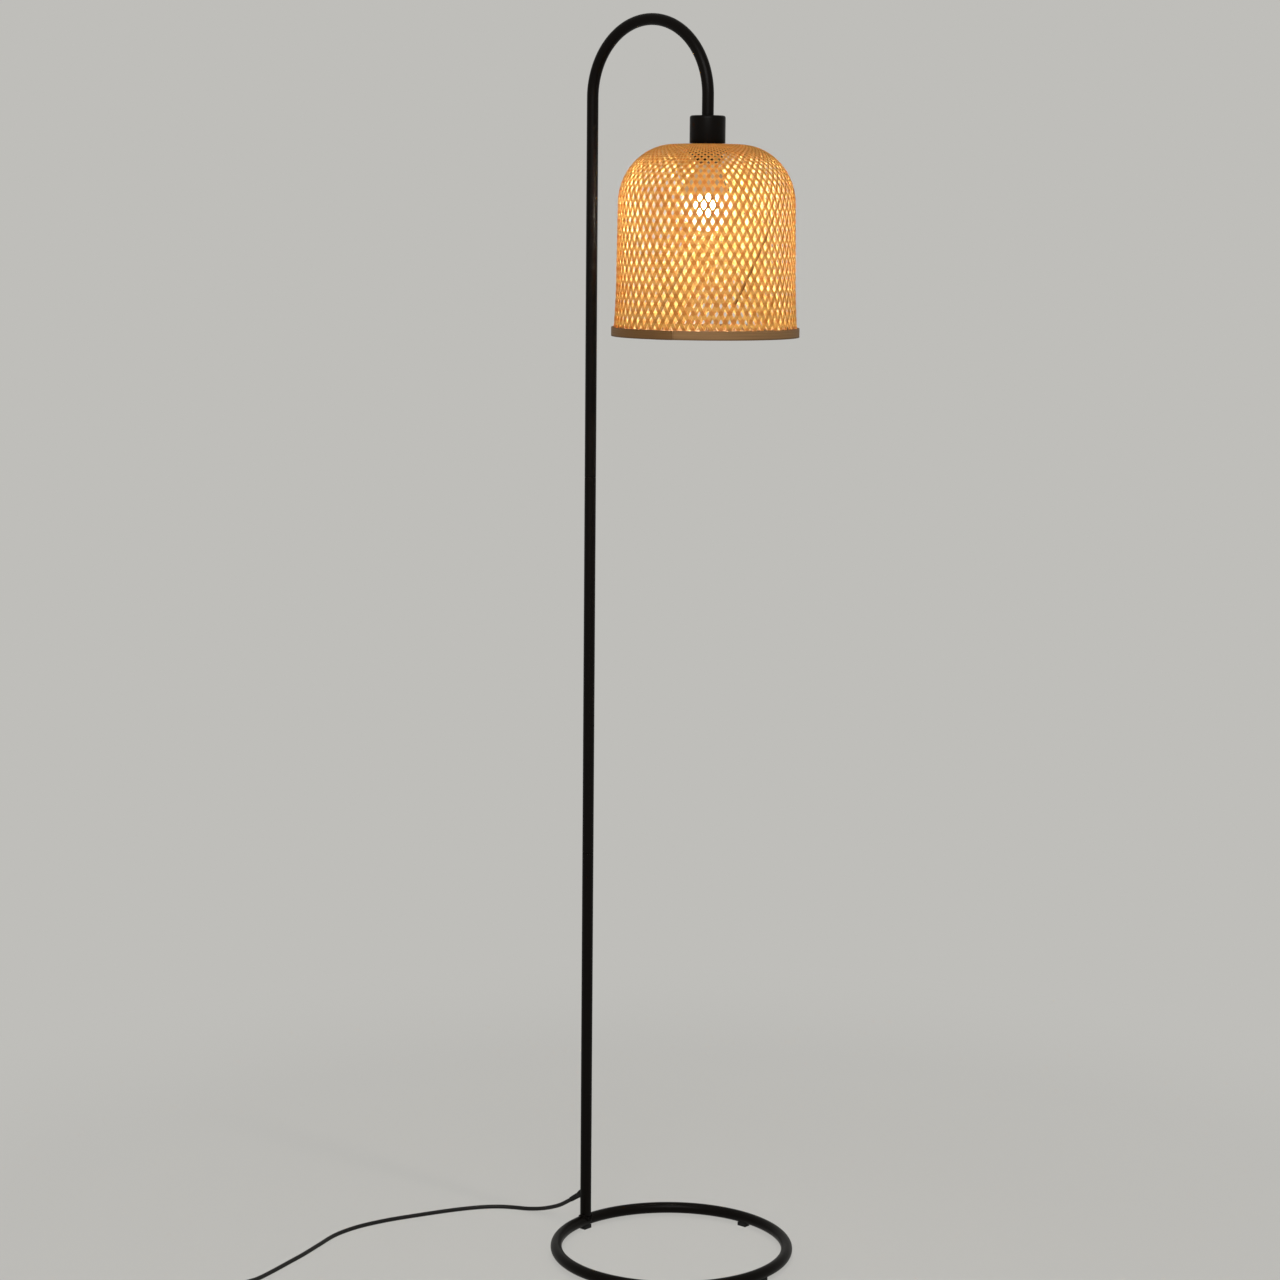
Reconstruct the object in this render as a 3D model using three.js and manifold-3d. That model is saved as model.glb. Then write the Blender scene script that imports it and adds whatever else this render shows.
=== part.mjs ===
// Floor lamp with a ring base, a crooked tube pole and a woven bamboo bell shade.
// Sizes are in millimetres and +Z is up.
// The origin is on the floor at the centre of the ring base.
// +X runs from the pole towards the shade.
import * as THREE from 'three';
import { mergeVertices, toCreasedNormals } from 'three/addons/utils/BufferGeometryUtils.js';
import Module from 'manifold-3d';

const wasm = await Module();
wasm.setup();

// Clearances
const seatGap = 0.3;
const cutOverrun = 2;

// Stand
const overallHeight = 1514;
const tubeDiameter = 14;
const tubeWall = 1.2;
const ringOutsideDiameter = 300;
const crookRadius = 90;
const crookDrop = 23;
const lowerPoleLength = 470;
const middlePoleLength = 470;
const weldLeg = 2.4;

// Rubber pads under the ring
const padHeight = 4;
const padLength = 12.5;
const padWidth = 9;
const padLip = 1.6;
const padNames = ['foot_pad_front', 'foot_pad_left', 'foot_pad_rear', 'foot_pad_right'];

// Threaded joints between the pole sections and above the cup
const nippleDiameter = 8;
const nippleBore = 6.2;
const jointReach = 12;
const bushLength = 13;
const studCollarLength = 11;
const holderNippleLength = 24;
const locknutAcross = 12;
const locknutHeight = 3;

// Cup over the lampholder
const cupDiameter = 42;
const cupHeight = 32;
const cupWall = 1.2;
const cupEdgeRadius = 2;

// Lampholder
const holderCapDiameter = 36.4;
const holderCapHeight = 16;
const holderCapWall = 2;
const holderCapCollarDiameter = 14;
const holderCapCollarHeight = 3;
const holderCapShoulder = 6;
const holderBodyHeight = 32;
const holderThreadDiameter = 36.8;
const holderCollarHeight = 2;
const terminalBlockDiameter = 31.2;
const terminalBlockHeight = 6;
const terminalHoleDiameter = 2.6;
const terminalSpacing = 16;
const screwShellWall = 0.4;
const contactLeafThickness = 0.6;
const contactLeafWidth = 4;
const contactLeafLength = 14;
const contactLeafDip = 1.5;

// Shade
const shadeHeight = 224.5;
const shadeWaistDiameter = 212;
const shadeTopDiameter = 76;
const shadeShoulderHeight = 70;
const shadeTaper = 1.2;
const shadeFlare = 2.6;
const shadeTaperRows = 2;
const shadeFlareRows = 2;
const weaveThickness = 2.4;
const shadeHoleClearance = 0.6;
const fitterDiameter = 72;
const fitterThickness = 1.2;
const shadeRingDiameter = 55;
const shadeRingHeight = 8;
const shadeRingLipHeight = 2.4;
const rimHeight = 10.8;
const rimThickness = 2;
const rimEdgeCover = 1;
const rimLapAngle = 9;
const rimSeamAngle = -79;
const domeRows = 3;
const openingShare = 0.72;
const shoulderSteps = 6;

// Light bulb
const bulbLength = 104;
const bulbGlobeDiameter = 60;
const bulbGlobeWall = 1.2;
const bulbGlobeCover = 13.7;
const bulbCapDiameter = 26.2;
const bulbCapHeight = 22.3;
const bulbCapWall = 0.6;
const bulbInsulatorHeight = 2.8;
const bulbContactDiameter = 9;
const bulbContactHeight = 1.2;
const bulbHousingWall = 1.8;
const bulbNeckDiameter = 28;
const bulbBoardThickness = 1.6;
const bulbThreadClearance = 0.4;

// Flex, and the sleeve where it leaves the pole
const cordDiameter = 5.2;
const coreDiameter = 2;
const coreSheathGap = 0.3;
const outletHeight = 44.4;
const outletSlope = 34;
const sleeveLength = 22;
const sleeveBoreClearance = 0.2;
const sleeveNeckDiameter = 7;
const sleeveTipDiameter = 6.3;
const sleeveRootDiameter = 7.2;
const sleeveFlareDiameter = 10;
const sleeveFlareLength = 6;
const sleeveFlangeDiameter = 11.5;
const sleeveFlangeThickness = 1;
const flexBendRadius = 19;
const flexLowStraight = 30;
const flexSlant = 90;

// Foot switch on the cord
const switchX = -284.6;
const switchY = -501.8;
const switchHeading = -75;
const switchLength = 70;
const switchWidth = 34;
const switchHeight = 18;
const switchWall = 2;
const switchBaseHeight = 8.5;
const switchBaseEdge = 1.5;
const switchCoverEdge = 3.6;
const buttonLength = 30;
const buttonWidth = 20;
const buttonProud = 3.4;
const buttonEdge = 1.6;
const buttonFlange = 1.6;
const buttonFlangeHeight = 2;
const buttonTravel = 3;
const switchScrewSpacing = 50;
const switchScrewDiameter = 2.6;
const switchScrewHeadDiameter = 5.2;
const switchScrewHeadHeight = 1.8;
const switchBossDiameter = 6.8;
const springDiameter = 8;
const springWire = 1;
const springTurns = 4;
const springSeatHeight = 2;
const springSeatDiameter = 5.2;
const bridgeLength = 24;
const bridgeWidth = 5;
const bridgeThickness = 0.8;
const bridgeOffset = 7.5;
const bridgePegDiameter = 3;
const bridgePegLength = 2.6;
const terminalLength = 6;

// Tapered sleeves where the cord enters the switch and the plug
const bootLength = 22;
const bootRootDiameter = 9;
const bootTipDiameter = 6.6;
const bootNeckDiameter = 7;
const bootNeckLength = 3;

// Coil of spare cord
const coilX = -207;
const coilY = -486;
const coilOuterRadius = 36.5;
const coilPitch = 5.8;
const coilLayerRise = 5.8;
const coilStartAngle = 195;
const coilEndAngle = 90;
const coilWholeTurns = 5;
const coilStepsPerTurn = 24;
const tieWidth = 8;
const tieThickness = 0.8;
const tieSlack = 0.6;
const tieAngle = -60;

// Plug
const plugX = -150;
const plugY = -452;
const plugLength = 36;
const plugWidth = 35.3;
const plugThickness = 13.7;
const plugWaist = 15;
const plugEdge = 3;
const plugPinDiameter = 4;
const plugPinLength = 19;
const plugPinSpacing = 18.6;
const plugPinRoot = 6;
const plugPinSleeveLength = 10;
const plugPinSleeveWall = 0.5;

// How finely round pieces are divided
const ringSides = 48;
const ringTubeSides = 12;
const tubeSides = 16;
const shadeSides = 32;
const turnedSides = 24;
const smallSides = 12;
const edgeSides = 8;
const cordSides = 8;
const coilSides = 6;
const crookSteps = 16;

// Places that follow from the sizes
const degrees = Math.PI / 180;
const tubeRadius = tubeDiameter / 2;
const boreRadius = tubeRadius - tubeWall;
const cordRadius = cordDiameter / 2;
const ringRadius = ringOutsideDiameter / 2 - tubeRadius;
const ringZ = padHeight + tubeRadius;
const ringTopZ = ringZ + tubeRadius;
const poleX = -ringRadius;
const springlineZ = overallHeight - crookRadius - tubeRadius;
const lowerPoleTopZ = ringTopZ + lowerPoleLength;
const middlePoleBottomZ = lowerPoleTopZ + seatGap;
const middlePoleTopZ = middlePoleBottomZ + middlePoleLength;
const crookBottomZ = middlePoleTopZ + seatGap;
const crookEndZ = springlineZ - crookDrop;
const headX = poleX + 2 * crookRadius;
const nippleRadius = nippleDiameter / 2;
const threadHoleRadius = nippleRadius + seatGap;
const cupTopZ = crookEndZ - seatGap;
const cupBottomZ = cupTopZ - cupHeight;
const cupInsideRadius = cupDiameter / 2 - cupWall;
const nippleBottomZ = cupTopZ - (cupWall + holderNippleLength) / 2;
const locknutTopZ = cupTopZ - cupWall - seatGap;
const holderCapTopZ = locknutTopZ - locknutHeight - seatGap;
const holderCapBottomZ = holderCapTopZ - holderCapHeight;
const holderBodyTopZ = holderCapBottomZ - seatGap;
const holderBodyBottomZ = holderBodyTopZ - holderBodyHeight;
const holderThreadRadius = holderThreadDiameter / 2;
const terminalBlockTopZ = holderBodyTopZ - seatGap;
const terminalBlockBottomZ = terminalBlockTopZ - terminalBlockHeight;
const contactLeafTopZ = terminalBlockBottomZ - seatGap;
const shadeTopZ = cupBottomZ - seatGap;
const fitterTopZ = shadeTopZ - weaveThickness - seatGap;
const shadeRingTopZ = fitterTopZ - fitterThickness - seatGap;
const rimBottomZ = shadeTopZ - shadeHeight;
const rimTopZ = rimBottomZ + rimHeight;
const shadeSpringZ = shadeTopZ - shadeShoulderHeight;
const wallRows = shadeTaperRows + shadeFlareRows;
const wallRowPitch = (shadeSpringZ - rimTopZ) / wallRows;
const shadeWaistRadius = shadeWaistDiameter / 2;
const shadeRimRadius = shadeWaistRadius + shadeFlare;
const bulbTopZ = contactLeafTopZ - contactLeafDip - contactLeafThickness - seatGap;
const bulbInsulatorTopZ = bulbTopZ - bulbContactHeight - seatGap;
const bulbCapTopZ = bulbInsulatorTopZ - bulbInsulatorHeight - seatGap;
const bulbCapBottomZ = bulbCapTopZ - bulbCapHeight;
const bulbCapRadius = bulbCapDiameter / 2;
const bulbCapBore = bulbCapRadius - bulbCapWall;
const bulbGlobeRadius = bulbGlobeDiameter / 2;
const bulbGlobeBore = bulbGlobeRadius - bulbGlobeWall;
const bulbGlobeZ = bulbTopZ - bulbLength + bulbGlobeRadius;
const bulbGlobeTopZ = bulbGlobeZ + bulbGlobeCover;
const bulbHousingBottomZ = bulbGlobeTopZ + seatGap;
const shellInsideRadius = bulbCapRadius + bulbThreadClearance;
const shellOutsideRadius = shellInsideRadius + screwShellWall;
const flexEndZ = nippleBottomZ - seatGap;

// Solids

function cleaned(geometry) {
  // Shares equal corners, drops empty triangles and turns every face outwards.
  const source = geometry.clone();
  source.deleteAttribute('normal');
  source.deleteAttribute('uv');
  const merged = mergeVertices(source);
  const place = merged.attributes.position;
  const corners = [];
  const a = new THREE.Vector3();
  const b = new THREE.Vector3();
  const c = new THREE.Vector3();
  let volume = 0;
  for (let i = 0; i < merged.index.count; i += 3) {
    const [p, q, r] = [0, 1, 2].map((k) => merged.index.getX(i + k));
    if (p !== q && q !== r && r !== p) {
      corners.push(p, q, r);
      a.fromBufferAttribute(place, p);
      b.fromBufferAttribute(place, q);
      c.fromBufferAttribute(place, r);
      volume += a.dot(b.cross(c));
    }
  }
  merged.setIndex(volume < 0 ? corners.reverse() : corners);
  return merged;
}

function solid(geometry) {
  const shape = cleaned(geometry);
  const vertProperties = new Float32Array(shape.attributes.position.array);
  const triVerts = new Uint32Array(shape.index.array);
  return new wasm.Manifold(new wasm.Mesh({ numProp: 3, vertProperties, triVerts }));
}

function surface(manifold) {
  const { vertProperties, triVerts } = manifold.getMesh();
  const geometry = new THREE.BufferGeometry();
  geometry.setAttribute('position', new THREE.BufferAttribute(new Float32Array(vertProperties), 3));
  geometry.setIndex(new THREE.BufferAttribute(new Uint32Array(triVerts), 1));
  return geometry;
}

function cut(geometry, ...tools) {
  return surface(tools.reduce((body, tool) => body.subtract(solid(tool)), solid(geometry)));
}

function joined(geometry, ...others) {
  return surface(others.reduce((body, other) => body.add(solid(other)), solid(geometry)));
}

function common(geometry, other) {
  return surface(solid(geometry).intersect(solid(other)));
}

// Shapes

function turned(profile, sides = turnedSides) {
  // Turns a closed [radius, z] profile about the Z axis.
  const points = profile.map(([radius, z]) => new THREE.Vector2(radius, z));
  return new THREE.LatheGeometry(points, sides).rotateX(Math.PI / 2);
}

function hollow(outside, inside, bottom, top, sides = turnedSides) {
  const start = [inside, bottom];
  return turned([start, [outside, bottom], [outside, top], [inside, top], start], sides);
}

function rod(radius, bottom, top, sides = smallSides) {
  return turned([[0, bottom], [radius, bottom], [radius, top], [0, top]], sides);
}

function arc(centreR, centreZ, radius, fromAngle, toAngle, steps) {
  const points = [];
  for (let i = 0; i <= steps; i += 1) {
    const angle = (fromAngle + ((toAngle - fromAngle) * i) / steps) * degrees;
    points.push([centreR + radius * Math.cos(angle), centreZ + radius * Math.sin(angle)]);
  }
  return points;
}

function block(length, width, bottom, top, x = 0, y = 0) {
  return new THREE.BoxGeometry(length, width, top - bottom).translate(x, y, (bottom + top) / 2);
}

function plate(shape, bottom, top) {
  const options = { depth: top - bottom, bevelEnabled: false, curveSegments: edgeSides };
  return new THREE.ExtrudeGeometry(shape, options).translate(0, 0, bottom);
}

function cushioned(shape, bottom, top, edge) {
  // A plate whose upper and lower edges are rounded inwards.
  const options = {
    depth: top - bottom - 2 * edge,
    bevelThickness: edge,
    bevelSize: edge,
    bevelOffset: -edge,
    bevelSegments: 2,
    curveSegments: edgeSides,
  };
  return new THREE.ExtrudeGeometry(shape, options).translate(0, 0, bottom + edge);
}

function stadium(length, width) {
  const radius = width / 2;
  const reach = length / 2 - radius;
  const shape = new THREE.Shape();
  shape.absarc(reach, 0, radius, -Math.PI / 2, Math.PI / 2, false);
  shape.absarc(-reach, 0, radius, Math.PI / 2, -Math.PI / 2, false);
  return shape;
}

function ellipse(length, width) {
  const shape = new THREE.Shape();
  shape.absellipse(0, 0, length / 2, width / 2, 0, 2 * Math.PI, false, 0);
  return shape;
}

function disc(radius) {
  const shape = new THREE.Shape();
  shape.absarc(0, 0, radius, 0, 2 * Math.PI, false);
  return shape;
}

// Paths

class StationPath extends THREE.Curve {
  // A path with one step from each station to the next, straight or curved.
  constructor(stations) {
    super();
    this.stations = stations;
  }

  getPointAt(share, target = new THREE.Vector3()) {
    const last = this.stations.length - 1;
    return target.copy(this.stations[Math.round(share * last)]);
  }

  getTangentAt(share, target = new THREE.Vector3()) {
    const last = this.stations.length - 1;
    const here = Math.round(share * last);
    const step = (from) => this.stations[from + 1].clone().sub(this.stations[from]).normalize();
    return target.copy(step(Math.min(here, last - 1))).add(step(Math.max(here - 1, 0))).normalize();
  }
}

function swept(stations, radius, sides, bore = 0) {
  // A round section carried along the stations, hollow where a bore is given.
  const shape = disc(radius);
  if (bore > 0) {
    const hole = new THREE.Path();
    hole.absarc(0, 0, bore, 0, 2 * Math.PI, true);
    shape.holes.push(hole);
  }
  const options = {
    steps: stations.length - 1,
    bevelEnabled: false,
    curveSegments: sides / 2,
    extrudePath: new StationPath(stations),
  };
  return new THREE.ExtrudeGeometry(shape, options);
}

function smoothed(points, steps) {
  return new THREE.CatmullRomCurve3(points, false, 'centripetal').getSpacedPoints(steps);
}

function crookStations(endZ) {
  // The half circle from the pole over to the shade, and the drop to endZ.
  const stations = [];
  for (let i = 0; i <= crookSteps; i += 1) {
    const angle = (Math.PI * i) / crookSteps;
    const x = poleX + crookRadius * (1 - Math.cos(angle));
    stations.push(new THREE.Vector3(x, 0, springlineZ + crookRadius * Math.sin(angle)));
  }
  stations.push(new THREE.Vector3(headX, 0, endZ));
  return stations;
}

function atPole(geometry) {
  return geometry.translate(poleX, 0, 0);
}

function atHead(geometry) {
  return geometry.translate(headX, 0, 0);
}

// Ring base

function ring(growth) {
  const torus = new THREE.TorusGeometry(ringRadius, tubeRadius + growth, ringTubeSides, ringSides);
  return torus.translate(0, 0, ringZ);
}

function footPad(angle) {
  const pad = block(padWidth, padLength, 0, padHeight + padLip, ringRadius, 0);
  return cut(pad.rotateZ(angle * degrees), ring(seatGap));
}

function footWeld() {
  // A bead in the corner where the pole stands on the ring.
  const collar = atPole(rod(tubeRadius + weldLeg, ringZ, ringTopZ + weldLeg, tubeSides));
  const pole = atPole(rod(tubeRadius + seatGap, 0, ringTopZ + 2 * weldLeg, tubeSides));
  return cut(common(collar, ring(weldLeg)), ring(seatGap), pole);
}

// Pole sections and their threaded joints

function alongOutlet(geometry) {
  // Moves a piece made on the Z axis to the outlet, its +Z pointing out and down.
  return geometry.rotateY(-(90 + outletSlope) * degrees).translate(poleX - tubeRadius, 0, outletHeight);
}

function lowerPole() {
  const tube = atPole(hollow(tubeRadius, boreRadius, ringZ, lowerPoleTopZ, tubeSides));
  const hole = alongOutlet(rod(sleeveNeckDiameter / 2 + seatGap, -tubeRadius, tubeRadius));
  return cut(tube, ring(seatGap), hole);
}

function middlePole() {
  return atPole(hollow(tubeRadius, boreRadius, middlePoleBottomZ, middlePoleTopZ, tubeSides));
}

function crookTube() {
  const foot = new THREE.Vector3(poleX, 0, crookBottomZ);
  return swept([foot, ...crookStations(crookEndZ)], tubeRadius, tubeSides, boreRadius);
}

function poleBush(topZ) {
  return atPole(hollow(boreRadius - seatGap, threadHoleRadius, topZ - bushLength, topZ, tubeSides));
}

function poleStud(jointZ) {
  // A collar fixed in the upper tube, with a thread that reaches down into the bush.
  const collar = boreRadius - seatGap;
  const bore = nippleBore / 2;
  const profile = [
    [bore, jointZ - jointReach], [nippleRadius, jointZ - jointReach], [nippleRadius, jointZ],
    [collar, jointZ], [collar, jointZ + studCollarLength], [bore, jointZ + studCollarLength],
    [bore, jointZ - jointReach],
  ];
  return atPole(turned(profile, tubeSides));
}

function crookEndBush() {
  return atHead(hollow(boreRadius - seatGap, threadHoleRadius, crookEndZ, crookEndZ + bushLength, tubeSides));
}

// Cup and lampholder

function holderNipple() {
  const top = nippleBottomZ + holderNippleLength;
  return atHead(hollow(nippleRadius, nippleBore / 2, nippleBottomZ, top, tubeSides));
}

function lampCup() {
  const outside = cupDiameter / 2;
  const ceilingZ = cupTopZ - cupWall;
  const inner = cupEdgeRadius - cupWall;
  const profile = [
    [cupInsideRadius, cupBottomZ], [outside, cupBottomZ],
    ...arc(outside - cupEdgeRadius, cupTopZ - cupEdgeRadius, cupEdgeRadius, 0, 90, 3),
    [threadHoleRadius, cupTopZ], [threadHoleRadius, ceilingZ],
    ...arc(cupInsideRadius - inner, ceilingZ - inner, inner, 90, 0, 1),
    [cupInsideRadius, cupBottomZ],
  ];
  return atHead(turned(profile, 2 * tubeSides));
}

function holderLocknut() {
  const bottom = locknutTopZ - locknutHeight;
  const nut = rod(locknutAcross / Math.sqrt(3), bottom, locknutTopZ, 6);
  return atHead(cut(nut, rod(threadHoleRadius, bottom - cutOverrun, locknutTopZ + cutOverrun)));
}

function holderCap() {
  const collar = holderCapCollarDiameter / 2;
  const outside = holderCapDiameter / 2;
  const shoulderTopZ = holderCapTopZ - holderCapCollarHeight;
  const centreR = outside - holderCapShoulder;
  const centreZ = shoulderTopZ - holderCapShoulder;
  const profile = [
    [threadHoleRadius, holderCapTopZ], [collar, holderCapTopZ], [collar, shoulderTopZ],
    ...arc(centreR, centreZ, holderCapShoulder, 90, 0, 2),
    [outside, holderCapBottomZ], [outside - holderCapWall, holderCapBottomZ],
    ...arc(centreR, centreZ, holderCapShoulder - holderCapWall, 0, 90, 1),
    [threadHoleRadius, shoulderTopZ - holderCapWall], [threadHoleRadius, holderCapTopZ],
  ];
  return atHead(turned(profile));
}

function terminalBlock() {
  const whole = rod(terminalBlockDiameter / 2, terminalBlockBottomZ, terminalBlockTopZ, turnedSides);
  const [low, high] = [terminalBlockBottomZ - cutOverrun, terminalBlockTopZ + cutOverrun];
  const hole = rod(terminalHoleDiameter / 2, low, high);
  const holes = [-1, 1].map((side) => hole.clone().translate(0, (side * terminalSpacing) / 2, 0));
  return atHead(cut(whole, ...holes));
}

function holderBody() {
  // Wide bore for the terminal block, narrow bore for the screw shell, and a collar over the shade's hole.
  const blockBore = terminalBlockDiameter / 2 + seatGap;
  const shellBore = shellOutsideRadius + seatGap;
  const ledgeZ = terminalBlockBottomZ - seatGap;
  const upper = holderCapDiameter / 2;
  const collar = cupInsideRadius - seatGap;
  const collarBottomZ = shadeTopZ + seatGap;
  const profile = [
    [blockBore, holderBodyTopZ], [upper, holderBodyTopZ], [upper, collarBottomZ + holderCollarHeight],
    [collar, collarBottomZ + holderCollarHeight], [collar, collarBottomZ],
    [holderThreadRadius, collarBottomZ], [holderThreadRadius, holderBodyBottomZ],
    [shellBore, holderBodyBottomZ], [shellBore, ledgeZ], [blockBore, ledgeZ], [blockBore, holderBodyTopZ],
  ];
  return atHead(turned(profile));
}

function holderScrewShell() {
  return atHead(hollow(shellOutsideRadius, shellInsideRadius, holderBodyBottomZ, contactLeafTopZ - seatGap));
}

function holderCentreContact() {
  // A springy leaf that bows down to the bulb.
  const half = contactLeafLength / 2;
  const bowShare = 0.3;
  const bow = half * bowShare;
  const upper = [[-half, 0], [-bow, -contactLeafDip], [bow, -contactLeafDip], [half, 0]];
  const lower = upper.map(([x, y]) => [x, y - contactLeafThickness]).reverse();
  const shape = new THREE.Shape([...upper, ...lower].map(([x, y]) => new THREE.Vector2(x, y)));
  const leaf = plate(shape, -contactLeafWidth / 2, contactLeafWidth / 2);
  return atHead(leaf.rotateX(Math.PI / 2).translate(0, 0, contactLeafTopZ));
}

// Shade

function shadeLine(inset) {
  // The bell's line from its top hole down to its lower edge, moved inwards by inset.
  const flat = shadeTopDiameter / 2;
  const shoulder = shadeWaistRadius - shadeTaper - inset - flat;
  const points = [[holderThreadRadius + shadeHoleClearance, shadeTopZ - inset]];
  for (let i = 0; i <= shoulderSteps; i += 1) {
    const angle = (90 * i * degrees) / shoulderSteps;
    const z = shadeSpringZ + (shadeShoulderHeight - inset) * Math.cos(angle);
    points.push([flat + shoulder * Math.sin(angle), z]);
  }
  for (let row = 1; row <= wallRows; row += 1) {
    const taper = shadeTaper * Math.max(0, 1 - row / shadeTaperRows);
    const flare = shadeFlare * (Math.max(0, row - shadeTaperRows) / shadeFlareRows) ** 2;
    points.push([shadeWaistRadius - inset - taper + flare, shadeSpringZ - wallRowPitch * row]);
  }
  points.push([shadeRimRadius - inset, rimBottomZ + rimEdgeCover]);
  return points;
}

function shadeCell(line, row, column) {
  // One flat of the wall, its corners in turn: upper left, lower left, lower right, upper right.
  const places = [[row, column], [row + 1, column], [row + 1, column + 1], [row, column + 1]];
  return places.map(([place, turn]) => {
    const [radius, z] = line[place];
    const angle = (2 * Math.PI * turn) / shadeSides;
    return new THREE.Vector3(radius * Math.cos(angle), radius * Math.sin(angle), z);
  });
}

function diamondIn(cell) {
  // The corners of a diamond opening, one towards the middle of each edge of the flat.
  const middle = new THREE.Vector3();
  cell.forEach((corner) => middle.addScaledVector(corner, 1 / cell.length));
  return cell.map((corner, i) => {
    const edge = corner.clone().lerp(cell[(i + 1) % cell.length], 1 / 2);
    return middle.clone().lerp(edge, openingShare);
  });
}

function between(first, second) {
  // The triangles that join two loops with as many corners.
  return first.flatMap((corner, i) => {
    const next = (i + 1) % first.length;
    return [[corner, first[next], second[i]], [first[next], second[next], second[i]]];
  });
}

function filled([a, b, c, d]) {
  return [[a, b, c], [a, c, d]];
}

function wovenShade() {
  // The leaning strips leave diamond gaps, staggered row by row down the bell and its wall.
  const outer = shadeLine(0);
  const inner = shadeLine(weaveThickness);
  const last = outer.length - 1;
  const ends = [[outer[last], inner[last]], [inner[0], outer[0]]];
  const topRow = last - 1 - wallRows - domeRows;
  const triangles = [];
  for (let column = 0; column < shadeSides; column += 1) {
    for (let row = 0; row < last; row += 1) {
      const face = shadeCell(outer, row, column);
      const back = shadeCell(inner, row, column);
      if (row >= topRow && row < last - 1 && (row + column) % 2 === 0) {
        const gap = diamondIn(face);
        const backGap = diamondIn(back);
        const rear = between(back, backGap).map(([a, b, c]) => [a, c, b]);
        triangles.push(...between(face, gap), ...between(gap, backGap), ...rear);
      } else {
        triangles.push(...filled(face), ...filled(back.reverse()));
      }
    }
    ends.forEach((line) => triangles.push(...filled(shadeCell(line, 0, column))));
  }
  return atHead(new THREE.BufferGeometry().setFromPoints(triangles.flat()));
}

function shadeRimOuter() {
  // A flat strip bent round the lower edge, its end lapped over its start.
  const inside = (shadeRimRadius + seatGap) / Math.cos(Math.PI / shadeSides);
  const wholeTurn = 360 + rimLapAngle;
  const lapStart = wholeTurn - 2 * rimLapAngle;
  const edge = (radius) => {
    const points = [];
    for (let i = 0; i <= shadeSides; i += 1) {
      const angle = (wholeTurn * i) / shadeSides;
      const climb = THREE.MathUtils.clamp((angle - lapStart) / rimLapAngle, 0, 1);
      const r = radius + (rimThickness + seatGap) * climb;
      const turn = (angle + rimSeamAngle) * degrees;
      points.push(new THREE.Vector2(r * Math.cos(turn), r * Math.sin(turn)));
    }
    return points;
  };
  const shape = new THREE.Shape([...edge(inside + rimThickness), ...edge(inside).reverse()]);
  return atHead(plate(shape, rimBottomZ, rimTopZ));
}

function shadeRimInner() {
  const outside = shadeRimRadius - weaveThickness - seatGap;
  return atHead(hollow(outside, outside - rimThickness, rimBottomZ, rimTopZ, shadeSides));
}

function shadeFitter() {
  const inside = holderThreadRadius + seatGap;
  return atHead(hollow(fitterDiameter / 2, inside, fitterTopZ - fitterThickness, fitterTopZ));
}

function shadeRing() {
  // A nut with a wide lip that presses the shade up against the lampholder.
  const outside = shadeRingDiameter / 2;
  const inside = holderThreadRadius + seatGap;
  const skirt = (outside + inside) / 2;
  const bottom = shadeRingTopZ - shadeRingHeight;
  const lip = shadeRingTopZ - shadeRingLipHeight;
  const profile = [
    [inside, bottom], [skirt, bottom], [skirt, lip], [outside, lip],
    [outside, shadeRingTopZ], [inside, shadeRingTopZ], [inside, bottom],
  ];
  return atHead(turned(profile));
}

// Light bulb

function bulbGlobe() {
  const outerTop = Math.asin(bulbGlobeCover / bulbGlobeRadius) / degrees;
  const innerTop = Math.asin(bulbGlobeCover / bulbGlobeBore) / degrees;
  const [outerSteps, innerSteps] = [8, 5];
  const outer = arc(0, bulbGlobeZ, bulbGlobeRadius, -90, outerTop, outerSteps);
  const inner = arc(0, bulbGlobeZ, bulbGlobeBore, innerTop, -90, innerSteps);
  return atHead(turned([...outer, ...inner, outer[0]]));
}

function bulbHousing() {
  // Narrows along a smooth shoulder from the globe to the screw cap.
  const wideR = Math.sqrt(bulbGlobeRadius ** 2 - bulbGlobeCover ** 2);
  const neckR = bulbNeckDiameter / 2;
  const top = bulbCapBottomZ - seatGap;
  const steps = 4;
  const line = (inset) => {
    const points = [];
    for (let i = 0; i <= steps; i += 1) {
      const share = i / steps;
      const r = THREE.MathUtils.lerp(wideR, neckR, THREE.MathUtils.smoothstep(share, 0, 1));
      points.push([r - inset, THREE.MathUtils.lerp(bulbHousingBottomZ, top, share)]);
    }
    return points;
  };
  const outer = line(0);
  return atHead(turned([...outer, ...line(bulbHousingWall).reverse(), outer[0]]));
}

function bulbBoard() {
  const radius = Math.sqrt(bulbGlobeBore ** 2 - bulbGlobeCover ** 2) - 2 * seatGap;
  return atHead(rod(radius, bulbGlobeTopZ - bulbBoardThickness, bulbGlobeTopZ, turnedSides));
}

function bulbScrewCap() {
  return atHead(hollow(bulbCapRadius, bulbCapBore, bulbCapBottomZ, bulbCapTopZ));
}

function bulbInsulator() {
  const bottom = bulbInsulatorTopZ - bulbInsulatorHeight;
  const edgeShare = 0.3;
  const edgeTop = THREE.MathUtils.lerp(bottom, bulbInsulatorTopZ, edgeShare);
  const tip = bulbContactDiameter / 2;
  const profile = [[0, bottom], [bulbCapBore, bottom], [bulbCapBore, edgeTop], [tip, bulbInsulatorTopZ]];
  return atHead(turned([...profile, [0, bulbInsulatorTopZ]]));
}

function bulbContact() {
  return atHead(rod(bulbContactDiameter / 2, bulbTopZ - bulbContactHeight, bulbTopZ));
}

// Flex inside the lamp

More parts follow.
